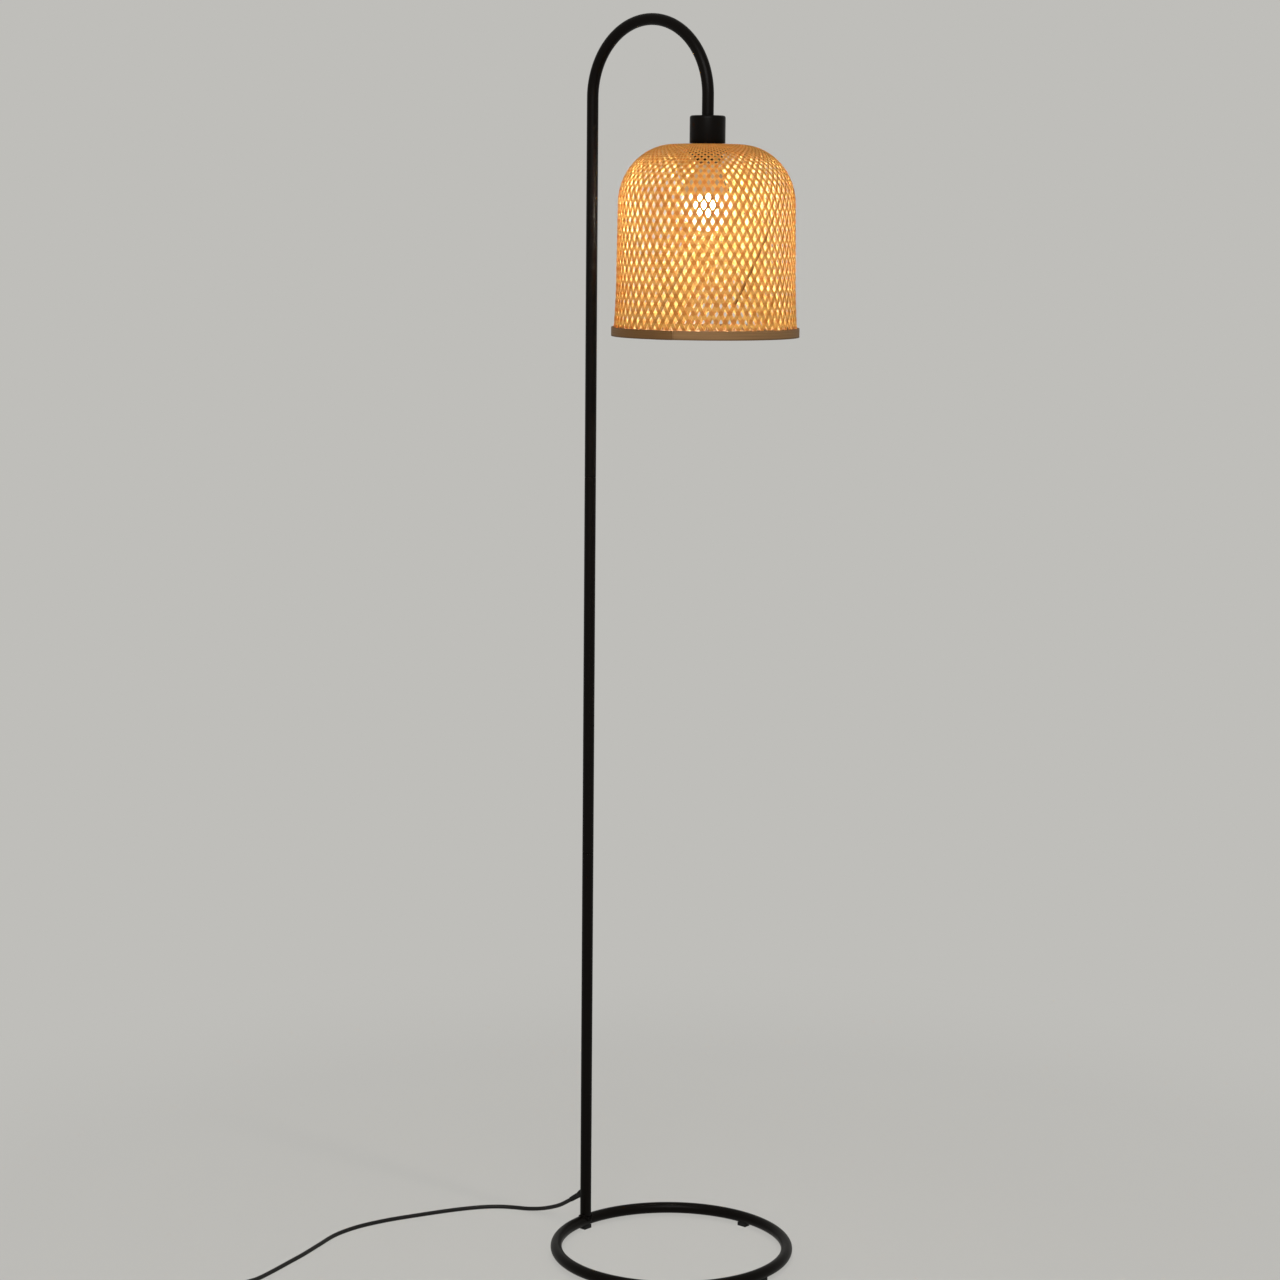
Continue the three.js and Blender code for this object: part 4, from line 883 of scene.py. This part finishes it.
class FLOORLAMP_OT_head(bpy.types.Operator):
    """Makes the cup, the lampholder's body and the ring and plate that hold the shade"""

    bl_idname = "floor_lamp.head"
    bl_label = "Cup and lampholder"

    def execute(self, context):
        self.cup()
        self.holder()
        ring_bore, grip, flange = 18.75, 23.1, 27.5
        bottom, step, top = 1349.2, 1354.8, 1357.2
        corners = [
            (ring_bore, bottom), (grip, bottom), (grip, step), (flange, step), (flange, top),
            (ring_bore, top),
        ]
        ring = softened(corners, 0.5, 2)
        gripped = grip_ring(ring, 30, 0.7, bottom + 0.4, step - 0.2, 22)
        make("shade_clamp_ring", [gripped], "black_plastic", "shade_ring", crease=40)
        plate = softened(rectangle(ring_bore, 36, top + GAP, top + GAP + 1.2), 0.4, 3)
        make("shade_fitter_plate", [turned(plate, 96)], "steel", "shade_fitter")
        return {"FINISHED"}

    def cup(self):
        """A deep cup with a hole in its top, whose upper edge is well rounded."""
        wall = CUP_RADIUS - CUP_WALL
        corners = [
            (wall, CUP_BOTTOM), (CUP_RADIUS, CUP_BOTTOM), (CUP_RADIUS, CUP_TOP), (CUP_HOLE, CUP_TOP),
            (CUP_HOLE, CUP_TOP - CUP_WALL), (wall, CUP_TOP - CUP_WALL),
        ]
        shell = softened(corners, (0.3, 0.3, 3.2, 0.3, 0.3, 0.3), (2, 2, 8, 2, 2, 2))
        make("lamp_cup_shell", [turned(shell, 96)], "black_paint", "lamp_cup")

    def holder(self):
        """The lampholder's body: a threaded skirt, a collar and a neck up inside the cup."""
        bore, neck_bore, neck, collar, thread = 13.9, 15.9, 18.2, 19.5, 18.4
        bottom, thread_top, ledge, top = 1340.6, 1361.6, 1365.6, 1372.6
        collar_bottom, collar_top = 1362.0, 1364.0
        upper = [
            (neck_bore, top), (neck, top), (neck, collar_top), (collar, collar_top),
            (collar, collar_bottom), (18.0, collar_bottom),
        ]
        skirt = threads(thread, bottom, thread_top, 2.2, 0.55, bore)[1:-1]
        outline = [*upper, *skirt[::-1], (bore, bottom), (bore, ledge), (neck_bore, ledge)]
        make("holder_shell", [turned(outline, 72)], "black_plastic", "holder_body", crease=30)


# Shade


def bell_line(inset):
    """Radius and height of the shade's wall from its lower edge up to its top hole."""
    waist, reach = SHADE_WAIST - inset, SHADE_SHOULDER - inset - SHADE_FLAT
    rise = SHADE_TOP - inset - SHOULDER
    points = [(waist + SHADE_FLARE, SHADE_EDGE)]
    for share in np.linspace(1, 0, 1000):
        points.append((waist + SHADE_FLARE * share ** 2, RIM_TOP + FLARE_HEIGHT * (1 - share)))
    for angle in np.linspace(math.pi / 2, 0, 2000):
        points.append((SHADE_FLAT + reach * math.sin(angle), SHOULDER + rise * math.cos(angle)))
    for r in np.linspace(SHADE_FLAT, SHADE_HOLE, 1000)[1:]:
        points.append((r, SHOULDER + rise))
    return np.array(points)


def strip_stations(strips, cover, wave, per_crossing):
    """Stations along one strip, the same number for each crossing, with what the strip does there."""
    line = bell_line(1.2)
    run = np.concatenate([[0], np.cumsum(np.hypot(*np.diff(line, axis=0).T))])
    even = np.linspace(0, run[-1], 6000)
    r, z = (np.interp(even, run, line[:, i]) for i in range(2))
    # The line's corners are rounded, so that the strips bend over them smoothly.
    spread = 30
    window = np.ones(2 * spread + 1) / (2 * spread + 1)
    padded = [np.pad(v, spread, mode="reflect", reflect_type="odd") for v in (r, z)]
    r, z = (np.convolve(v, window, mode="valid") for v in padded)
    slope_r, slope_z = np.gradient(r, even), np.gradient(z, even)
    size = np.hypot(slope_r, slope_z)
    slope_r, slope_z = slope_r / size, slope_z / size
    # A strip climbs more steeply the wider the bell is, as the shortest way over it does.
    reach, less, flattest = 53.5, 3.6, 0.766
    level = np.minimum((reach - less * eased((r - 95) / 11)) / r, flattest)
    climb = np.arccos(level)
    rate = 1 / (np.tan(climb) * r)
    turn = np.concatenate([[0], np.cumsum((rate[1:] + rate[:-1]) / 2 * np.diff(even))])
    along = np.concatenate([[0], np.cumsum(np.diff(even) / np.sin(climb[1:]))])
    count = int(turn[-1] * strips / math.pi * per_crossing)
    places = np.linspace(0, turn[-1], count)
    r, z, climb, along, slope_r, slope_z = (
        np.interp(places, turn, values) for values in (r, z, climb, along, slope_r, slope_z)
    )
    # Near the top hole the strips close up.
    closest = 0.62
    share = cover + (closest - cover) * eased((60 - r) / 26)
    half = share * math.pi * r / strips * np.sin(climb)
    return {
        "place": np.stack([r, np.zeros(count), z], axis=1) * MM,
        "turn": places, "climb": climb, "half_width": half * MM, "along": along * MM,
        "wave": np.minimum(wave / MM, 0.16 * half) * MM,
        "outward": np.stack([slope_z, np.zeros(count), -slope_r], axis=1),
    }


def weave_tree():
    """Geometry Nodes that lay flat strips round the bell, all leaning one way, in waves."""
    tree = bpy.data.node_groups.new("Leaning strips", "GeometryNodeTree")
    tree.is_modifier = True
    kinds = {
        "Bell line": "Geometry", "Stations": "Int", "Strips": "Int", "Lean": "Float", "Thickness": "Float",
        "Wander": "Float", "Turn": "Float", "Centre": "Vector", "Seed": "Int", "Finish": "Material",
    }
    for label, kind in kinds.items():
        tree.interface.new_socket(label, in_out="INPUT", socket_type=f"NodeSocket{kind}")
    tree.interface.new_socket("Weave", in_out="OUTPUT", socket_type="NodeSocketGeometry")
    graph = Graph(tree)
    inputs = graph.add("NodeGroupInput")
    given = {label: graph.number(inputs, label) for label in kinds}
    strips, lean, seed = given["Strips"], given["Lean"], given["Seed"]

    # One long bar for each strip, cut across at each station.
    last = given["Stations"] - 1.0
    bar = graph.add(
        "GeometryNodeMeshCylinder", {"Vertices": 6, "Side Segments": last, "Radius": 1.0, "Depth": 1.0},
        fill_type="NGON",
    )
    points = graph.add("GeometryNodePoints", {"Count": strips})
    marked = graph.add("GeometryNodeCaptureAttribute", {"Geometry": points}, domain="POINT")
    marked.capture_items.new("FLOAT", "strip")
    graph.give(marked.inputs[1], graph.add("GeometryNodeInputIndex"))
    strip = graph.number(marked, 1)
    copies = graph.add("GeometryNodeInstanceOnPoints", {"Points": marked, "Instance": bar})
    real = graph.add("GeometryNodeRealizeInstances", {"Geometry": copies})
    x, y, z = graph.parts(graph.add("GeometryNodeInputPosition"))
    here = graph.math("ROUND", (z + 0.5) * last)

    def sampled(kind, value):
        wanted = {"Geometry": given["Bell line"], "Value": value, "Index": here}
        return graph.number(graph.add("GeometryNodeSampleIndex", wanted, data_type=kind, domain="POINT"))

    def kept(name, kind="FLOAT"):
        return sampled(kind, graph.add("GeometryNodeInputNamedAttribute", {"Name": name}, data_type=kind))

    # The bell's line and its outward direction at the station, then the strip's place across and over it.
    bell_r, _, bell_z = graph.parts(sampled("FLOAT_VECTOR", graph.add("GeometryNodeInputPosition")))
    out_r, _, out_z = graph.parts(kept("outward", "FLOAT_VECTOR"))
    turn, climb = kept("turn"), kept("climb")
    side = graph.math("SIGN", x) * graph.math("POWER", graph.math("ABSOLUTE", x), 0.2)
    level = y / math.sin(math.pi / 3)
    narrowest, widest = 0.93, 1.05
    spread = {2: narrowest, 3: widest, "ID": strip, "Seed": seed}
    change = graph.number(graph.add("FunctionNodeRandomValue", spread, data_type="FLOAT"), 1)
    stray_place = graph.point(turn * 2.2, strip * 3.71, lean * (seed + 0.5))
    stray = (graph.noise(stray_place, 1.0, 1.0) - 0.5) * given["Wander"]
    across = side * kept("half_width") * change + stray * 4.0
    shift = across * graph.math("COSINE", climb) * (lean * -1.0)
    swing = graph.math("COSINE", turn * strips)
    lift = level * (given["Thickness"] * 0.5) + swing * lean * kept("wave")
    radius = bell_r - out_z * shift + out_r * lift
    height = bell_z + out_r * shift + out_z * lift
    slant = across * graph.math("SINE", climb) / bell_r
    angle = strip * (2 * math.pi) / strips + lean * turn + (slant + given["Turn"])
    east, north = (radius * graph.math(operation, angle) for operation in ("COSINE", "SINE"))
    spot = {0: graph.point(east, north, height), 1: given["Centre"]}
    place = graph.add("ShaderNodeVectorMath", spot, operation="ADD")

    # What the strips' material reads.
    shaped = real
    marks = {"along": kept("along"), "across": side, "strip": strip + lean * WAY_NUMBER, "turn": turn}
    for name, value in marks.items():
        shaped = graph.add(
            "GeometryNodeStoreNamedAttribute", {"Geometry": shaped, "Name": name, "Value": value},
            data_type="FLOAT", domain="POINT",
        )
    laid = graph.add("GeometryNodeSetPosition", {"Geometry": shaped, "Position": place})
    dressed = graph.add("GeometryNodeSetMaterial", {"Geometry": laid, "Material": given["Finish"]})
    graph.add("NodeGroupOutput", {0: dressed})
    return tree


def woven_strips(name, lean, tree, stations, settings):
    """One way's strips as a plain mesh."""
    line = bpy.data.meshes.new(f"{name}_line")
    count = len(stations["turn"])
    line.from_pydata(stations["place"].tolist(), [(i, i + 1) for i in range(count - 1)], [])
    for key in ("turn", "climb", "half_width", "along", "wave"):
        kept = line.attributes.new(key, "FLOAT", "POINT")
        kept.data.foreach_set("value", stations[key].astype(np.float32))
    outward = line.attributes.new("outward", "FLOAT_VECTOR", "POINT")
    outward.data.foreach_set("vector", stations["outward"].astype(np.float32).ravel())
    guide = bpy.data.objects.new(f"{name}_guide", line)
    bpy.context.scene.collection.objects.link(guide)
    nodes = guide.modifiers.new("strips", "NODES")
    nodes.node_group = tree
    values = {
        "Stations": count, "Strips": settings.strips, "Lean": lean, "Thickness": settings.thickness,
        "Wander": settings.wander, "Turn": settings.phase, "Centre": (HEAD_X * MM, 0.0, 0.0),
        "Seed": settings.seed, "Finish": finish_of("bamboo_strip"),
    }
    for item in tree.interface.items_tree:
        if item.in_out == "INPUT" and item.name in values:
            nodes[item.identifier] = values[item.name]
    deps = bpy.context.evaluated_depsgraph_get()
    mesh = bpy.data.meshes.new_from_object(guide.evaluated_get(deps))
    if not len(mesh.polygons):
        raise RuntimeError(f"{name} came out empty")
    guide.modifiers.clear()
    bpy.data.objects.remove(guide)
    mesh.name = name
    mesh.shade_smooth()
    mesh.set_sharp_from_angle(angle=math.radians(40))
    piece = bpy.data.objects.new(name, mesh)
    bpy.context.scene.collection.objects.link(piece)
    return piece


def edge_shadow(piece, lean):
    """Marks the stretches of a few strips that get a painted shadow along one edge, where a strip's end
    lies over them.
    """
    mesh = piece.data
    values = {}
    for key in ("strip", "turn", "across"):
        values[key] = np.zeros(len(mesh.vertices), np.float32)
        mesh.attributes[key].data.foreach_get("value", values[key])
    number = np.round(values["strip"] - lean * WAY_NUMBER)
    amount = np.zeros(len(mesh.vertices), np.float32)
    for way, strip, start, end, depth in EDGE_SHADOWS:
        if way == lean:
            here = (number == strip) & (values["turn"] > start) & (values["turn"] < end)
            amount[here] = depth * np.clip(values["across"][here], 0, 1)
    mesh.attributes.new("edge_shadow", "FLOAT", "POINT").data.foreach_set("value", amount)


class FLOORLAMP_OT_weave(bpy.types.Operator):
    """Weaves the bell shade from strips that lean both ways"""

    bl_idname = "floor_lamp.weave"
    bl_label = "Woven shade"

    def execute(self, context):
        settings = context.scene.lamp_weave
        stations = strip_stations(settings.strips, settings.cover, settings.wave, 4)
        tree = weave_tree()
        for name, lean in (("weave_rightward", 1), ("weave_leftward", -1)):
            piece = woven_strips(name, lean, tree, stations, settings)
            edge_shadow(piece, lean)
            ridden(piece, ("woven_shade",), "bamboo_weave")
        return {"FINISHED"}


class FLOORLAMP_OT_rim(bpy.types.Operator):
    """Bends the two hoops round the shade's lower edge, the outer one lapped"""

    bl_idname = "floor_lamp.rim"
    bl_label = "Rim hoops"

    def execute(self, context):
        # The outer hoop climbs over its own start, and both its ends are shaved thinner.
        section = softened(rectangle(0, HOOP_THICKNESS, RIM_BOTTOM, RIM_TOP), 0.55, 3)
        whole = 360 + LAP_ANGLE
        rings = []
        for angle in np.linspace(0, whole, 247):
            climb = eased((angle - whole + 2 * LAP_ANGLE) / LAP_ANGLE) * (HOOP_THICKNESS + GAP)
            thin = 1 - 0.45 * eased((angle - whole + 3) / 3) - 0.3 * eased((4 - angle) / 4)
            turn = math.radians(angle + SEAM_ANGLE)
            c, s = math.cos(turn), math.sin(turn)
            reaches = [(OUTER_HOOP_BORE + climb + across * thin, z) for across, z in section]
            rings.append([(HEAD_X + r * c, r * s, z) for r, z in reaches])
        inner = rectangle(INNER_HOOP_BORE, INNER_HOOP_BORE + HOOP_THICKNESS, RIM_BOTTOM, RIM_TOP)
        hoops = (
            ("rim_outer_hoop", skin(rings), "shade_rim_outer"),
            ("rim_inner_hoop", turned(softened(inner, 0.55, 3), 180), "shade_rim_inner"),
        )
        for name, hoop, node in hoops:
            make(name, [hoop], "bamboo_hoop", node, slot="bamboo_rim", crease=50)
        return {"FINISHED"}


# Bulb


class FLOORLAMP_OT_bulb(bpy.types.Operator):
    """Makes the bulb's lit globe, housing and screw cap"""

    bl_idname = "floor_lamp.bulb"
    bl_label = "Bulb"

    def execute(self, context):
        glass = [*self.bowl(GLOBE_RADIUS, 40), *self.bowl(GLOBE_RADIUS - GLASS, 28)[::-1]]
        make("bulb_glass", [turned(glass, 72)], "opal_globe", "bulb_globe", body="bulb")
        wide = math.sqrt(GLOBE_RADIUS ** 2 - (GLOBE_TOP - GLOBE_Z) ** 2)
        neck, bottom = 14.0, GLOBE_TOP + GAP
        line = [
            (wide + (neck - wide) * eased(t), bottom + (HOUSING_TOP - bottom) * t)
            for t in np.linspace(0, 1, 28)
        ]
        housing = [*line, *((r - HOUSING_WALL, z) for r, z in line[::-1])]
        make(
            "bulb_housing_shell", [turned(housing, 72)], "white_plastic", "bulb_housing", body="bulb",
            crease=50,
        )
        cap = threads(13.05, HOUSING_TOP + GAP, CAP_TOP, 3.4, 0.7, 11.9)
        make("bulb_cap_thread", [turned(cap, 64)], "nickel", "bulb_screw_cap", body="bulb", crease=60)
        return {"FINISHED"}

    def bowl(self, radius, count):
        """Points round a globe, from its lowest up to where the housing takes over."""
        end = math.asin((GLOBE_TOP - GLOBE_Z) / radius)
        return [
            (radius * math.cos(a), GLOBE_Z + radius * math.sin(a))
            for a in np.linspace(-math.pi / 2, end, count)
        ]


# Foot switch


def mirrored(half, z):
    """A ring of points: those of the right half, and the same half turned round to the left."""
    right = [(x, y, z) for x, y in half]
    return right + [(-x, -y, z) for x, y in half]


def stadium(inset, z):
    """A ring of points round the switch's outline, this far inside it, with two half-round ends."""
    radius, reach = SWITCH_WIDTH / 2 - inset, (SWITCH_LENGTH - SWITCH_WIDTH) / 2
    arc = np.linspace(-math.pi / 2, math.pi / 2, SWITCH_SIDES // 2)
    return in_switch(mirrored([(reach + radius * math.cos(a), radius * math.sin(a)) for a in arc], z))


def oval(length, width, z):
    """An oval with a point for each point of a stadium."""
    arc = np.linspace(-math.pi / 2, math.pi / 2, SWITCH_SIDES // 2 + 1)[:-1] + math.pi / SWITCH_SIDES
    return in_switch(mirrored([(length / 2 * math.cos(a), width / 2 * math.sin(a)) for a in arc], z))


class FLOORLAMP_OT_switch(bpy.types.Operator):
    """Makes the foot switch's two halves, its button and its spring"""

    bl_idname = "floor_lamp.foot_switch"
    bl_label = "Foot switch"

    def execute(self, context):
        top, wall, edge = SWITCH_HEIGHT, SWITCH_WALL, 3.6
        parting = SWITCH_PARTING + GAP
        cover = [stadium(0.25, parting), stadium(0, parting + 0.25)]
        for a in np.linspace(0, math.pi / 2, 9):
            cover.append(stadium(edge * (1 - math.cos(a)), top - edge + edge * math.sin(a)))
        # The button's hole, as length and depth below the top.
        hole = ((34.4, 0), (32.0, 0.1), (30.9, 0.6), (30.6, 1.8), (31.4, 2.0))
        cover += [oval(length, length - 10, top - deep) for length, deep in hole]
        cover += [stadium(wall, top - 2.5), stadium(wall, parting)]
        make("switch_cover_shell", [skin(cover, True)], "black_plastic", "switch_cover")
        # The base as inset and height, from its underside up its outside and down its inside.
        base = (
            (wall, 0.02), (1.5, 0.02), (0.45, 0.45), (0.02, 1.5), (0, SWITCH_PARTING - 0.3),
            (0.25, SWITCH_PARTING), (wall, SWITCH_PARTING), (wall, wall), (6, wall),
        )
        rings = [stadium(inset, z) for inset, z in base]
        make("switch_base_shell", [skin(rings)], "black_plastic", "switch_base")
        self.button()
        self.spring()
        return {"FINISHED"}

    def button(self):
        """A soft oval button with three raised ridges across its top."""
        height = SWITCH_HEIGHT + BUTTON_PROUD
        length, width = 26.8, 16.8
        sides = (
            (33.2, 13.72), (33.2, 15.68), (30, 15.7), (30, height - 1.6), (29.4, height - 0.75),
            (28.2, height - 0.2), (length, height - 0.02),
        )
        rings = [oval(long, long - length + width, z) for long, z in sides]
        for share in (0.8, 0.6, 0.4, 0.2):
            rings.append(oval(length * share, width * share, height - 0.02 - 0.5 * (1 - share)))
        skins = [skin(rings)]
        bar = softened(rectangle(-0.75, 0.75, -1.2, 0.42), 0.4, 3)
        for x, span in ((-6, 5.6), (0, 6.4), (6, 5.6)):
            ridge = []
            for y in np.linspace(-span, span, 13):
                drop = 0.9 * (abs(y) / span) ** 6
                places = [(x + across, y, height - 0.45 + up - drop * (up > 0)) for across, up in bar]
                ridge.append(in_switch(places))
            skins.append(skin(ridge))
        make(
            "switch_button_pad", skins, "black_rubber", "switch_button", slot="black_plastic",
            body="switch_button", crease=40,
        )

    def spring(self):
        """The helical spring under the button."""
        low, high = (corner[2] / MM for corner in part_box("switch_spring"))
        wire, radius, turns = 0.5, 3.5, 4
        path = []
        for share in np.linspace(0, 1, turns * 24 + 1):
            angle = 2 * math.pi * turns * share
            place = low + wire + (high - low - 2 * wire) * share
            path.append((radius * math.cos(angle), radius * math.sin(angle), place))
        rings = swept(in_switch(path), round_section(wire, 10))
        piece = make("switch_spring_coil", [skin(rings)], "steel", "switch_spring", crease=60)
        Vector(switch_point(0, 0, low)) * MM
        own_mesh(piece)


# Plug


class FLOORLAMP_OT_plug(bpy.types.Operator):
    """Makes the plug's moulded body and its two pins"""

    bl_idname = "floor_lamp.plug"
    bl_label = "Plug"

    def execute(self, context):
        rings = []
        # The body swells from its neck to its head, with grip grooves near the neck and eased ends.
        neck, head = 7.5, 17.65
        for x in (*np.arange(PLUG_LENGTH), PLUG_LENGTH - 0.4, PLUG_LENGTH):
            share = x / PLUG_LENGTH
            wide = neck + (head - neck) * eased((share - 0.26) / 0.5)
            thick = PLUG_MIDDLE - 0.9 * eased((0.34 - share) / 0.3)
            groove = 0.5 * max(0.0, math.cos(x * 2 * math.pi / 3.0)) if 4 < x < 15 else 0.0
            front = 1 - 0.02 * (x > PLUG_LENGTH - 0.7) - 0.05 * (x > PLUG_LENGTH - 0.2)
            trim = front * (0.86 + 0.14 * eased(x / 1.2))
            rings.append(self.squarish(x, (wide - groove) * trim, thick * trim - groove * 0.5))
        collar = softened(rectangle(2.3, 2.8, 34, 46), 0.2, 2)
        skins = [skin(rings), *(skin(self.pin_rings(side, collar), True) for side in (-1, 1))]
        make("plug_shell", skins, "black_plastic", "plug_body", crease=60)
        tip = [(r, PIN_END + up) for r, up in round_section(PIN_RADIUS, 28)[:8]]
        for side, node in ((1, "plug_pin_left"), (-1, "plug_pin_right")):
            pin = [skin(self.pin_rings(side, [(0, 30), (PIN_RADIUS, 30), *tip]))]
            make(f"{node}_round", pin, "nickel", node)
        return {"FINISHED"}

    def squarish(self, x, wide, thick):
        """A rounded oblong across the plug, squarer where the plug is wide."""
        power = 2 / (3.2 + 2.4 * (wide > 9))
        circle = round_section(1.0, 48)
        oblong = np.sign(circle) * np.abs(circle) ** power * (wide, thick)
        return in_plug([(x, y, PLUG_MIDDLE + z) for y, z in oblong])

    def pin_rings(self, side, profile):
        """Rings of a (radius, reach) profile about one pin's axis."""
        middle = side * PIN_SPACING / 2
        return [
            in_plug([(reach, middle + y, PLUG_MIDDLE + z) for y, z in round_section(r, 28)])
            for r, reach in profile
        ]


# Parts inside


INSIDE = {
    "steel": (
        "lower_pole_bush", "middle_pole_stud", "middle_pole_bush", "crook_stud", "crook_end_bush",
        "holder_nipple", "holder_locknut", "switch_screw_rear", "switch_screw_front",
    ),
    "brass": (
        "holder_screw_shell", "holder_centre_contact", "switch_bridge", "switch_terminal_in",
        "switch_terminal_out",
    ),
    "nickel": ("bulb_contact",),
    "black_plastic": ("holder_cap", "holder_terminal_block"),
    "black_sheath": ("inner_flex",),
    "white_plastic": ("bulb_led_board",),
    "black_insulator": ("bulb_insulator",),
    "brown_core": ("flex_core_live",),
    "blue_core": ("flex_core_neutral",),
}


class FLOORLAMP_OT_inside(bpy.types.Operator):
    """Gives the parts inside the pole, lampholder, bulb and switch their finishes"""

    bl_idname = "floor_lamp.inside"
    bl_label = "Parts inside"

    def execute(self, context):
        for finish, nodes in INSIDE.items():
            for node in nodes:
                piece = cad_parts[node]
                if not piece.material_slots:
                    raise RuntimeError(f"{node} has no material slot")
                for slot in piece.material_slots:
                    slot.link = "OBJECT"
                    slot.material = finish_of(finish)
        return {"FINISHED"}


# Stage


def floor_material(studio):
    """A pale floor that takes the lamp's soft shadow and fades into the backdrop's colour."""
    material, graph, shader = new_material("floor")
    place = graph.place()
    away = graph.number(graph.add("ShaderNodeVectorMath", {0: place}, operation="LENGTH"), "Value")
    near = tuple(studio.floor)
    flecks = graph.noise(place, 300.0, 1.0)
    graph.give(shader.inputs["Base Color"], graph.tint(flecks, scaled(near, 0.995), scaled(near, 1.005)))
    graph.give(shader.inputs["Roughness"], 1.0)
    graph.give(shader.inputs["Specular IOR Level"], 0.0)
    plain = graph.add("ShaderNodeEmission", {"Color": (*studio.backdrop, 1.0), "Strength": 1.0})
    graph.mix(graph.step(away, 0.4, 1.4, 0.78, 1.0), shader, plain, "Material Output")
    return material


def backdrop_world(studio):
    """The backdrop's colour where it is seen or mirrored, and a dimmer room that lights the lamp."""
    world = bpy.data.worlds.new("backdrop")
    world.use_nodes = True
    graph = Graph(world.node_tree)
    ray = graph.add("ShaderNodeLightPath").outputs
    mirrored = graph.math("MAXIMUM", ray["Is Glossy Ray"], ray["Is Transmission Ray"])
    seen = graph.math("MAXIMUM", ray["Is Camera Ray"], mirrored)
    room = graph.add("ShaderNodeBackground", {"Color": (1.0, 0.99, 0.97, 1.0), "Strength": studio.around})
    plain = graph.add("ShaderNodeBackground", {"Color": (*studio.backdrop, 1.0), "Strength": 1.0})
    graph.mix(seen, room, plain, "World Output")
    return world


class FLOORLAMP_OT_stage(bpy.types.Operator):
    """Lays the floor, sets the backdrop and hangs the soft light"""

    bl_idname = "floor_lamp.stage"
    bl_label = "Stage"

    def execute(self, context):
        scene, studio = context.scene, context.scene.lamp_studio
        work = bmesh.new()
        bmesh.ops.create_circle(work, cap_ends=True, segments=96, radius=30.0)
        mesh = bpy.data.meshes.new("floor")
        work.to_mesh(mesh)
        work.free()
        mesh.materials.append(floor_material(studio))
        floor = bpy.data.objects.new("floor", mesh)
        scene.collection.objects.link(floor)

        scene.world = backdrop_world(studio)
        self.soft_light("key_light", (1.7, -2.1, 2.6), (0, 0, 0.9), 1.7, studio.key)
        scene.view_settings.view_transform = "Standard"
        return {"FINISHED"}

    def soft_light(self, name, place, aim, size, power):
        data = bpy.data.lights.new(name, "AREA")
        data.size = size
        data.energy = power
        light = bpy.data.objects.new(name, data)
        light.location = place
        light.rotation_euler = (Vector(aim) - Vector(place)).to_track_quat("-Z", "Y").to_euler()
        bpy.context.scene.collection.objects.link(light)


# Panel and start


class FLOORLAMP_PT_pieces(bpy.types.Panel):
    """Lists the lamp's settings and the buttons that build it"""

    bl_label = "Floor lamp"
    bl_idname = "FLOORLAMP_PT_pieces"
    bl_space_type = "VIEW_3D"
    bl_region_type = "UI"
    bl_category = "Floor lamp"

    def draw(self, context):
        for operator in OPERATORS:
            self.layout.operator(operator.bl_idname)
        for group in (context.scene.lamp_weave, context.scene.lamp_finishes, context.scene.lamp_studio):
            box = self.layout.box()
            for name in group.bl_rna.properties.keys():
                if name not in ("rna_type", "name"):
                    box.prop(group, name)


OPERATORS = (
    FLOORLAMP_OT_camera, FLOORLAMP_OT_stand, FLOORLAMP_OT_head, FLOORLAMP_OT_weave, FLOORLAMP_OT_rim,
    FLOORLAMP_OT_bulb, FLOORLAMP_OT_switch, FLOORLAMP_OT_plug, FLOORLAMP_OT_cords, FLOORLAMP_OT_inside,
    FLOORLAMP_OT_stage,
)
GROUPS = {"lamp_weave": WeaveSettings, "lamp_finishes": FinishSettings, "lamp_studio": StudioSettings}


def register():
    for group in (*GROUPS.values(), *OPERATORS, FLOORLAMP_PT_pieces):
        bpy.utils.register_class(group)
    for name, group in GROUPS.items():
        setattr(bpy.types.Scene, name, PointerProperty(type=group))


def unregister():
    for name in GROUPS:
        delattr(bpy.types.Scene, name)
    for group in (FLOORLAMP_PT_pieces, *reversed(OPERATORS), *reversed(GROUPS.values())):
        bpy.utils.unregister_class(group)


def main():
    register()
    for operator in OPERATORS:
        group, name = operator.bl_idname.split(".")
        getattr(getattr(bpy.ops, group), name)()


if __name__ == "__main__":
    main()
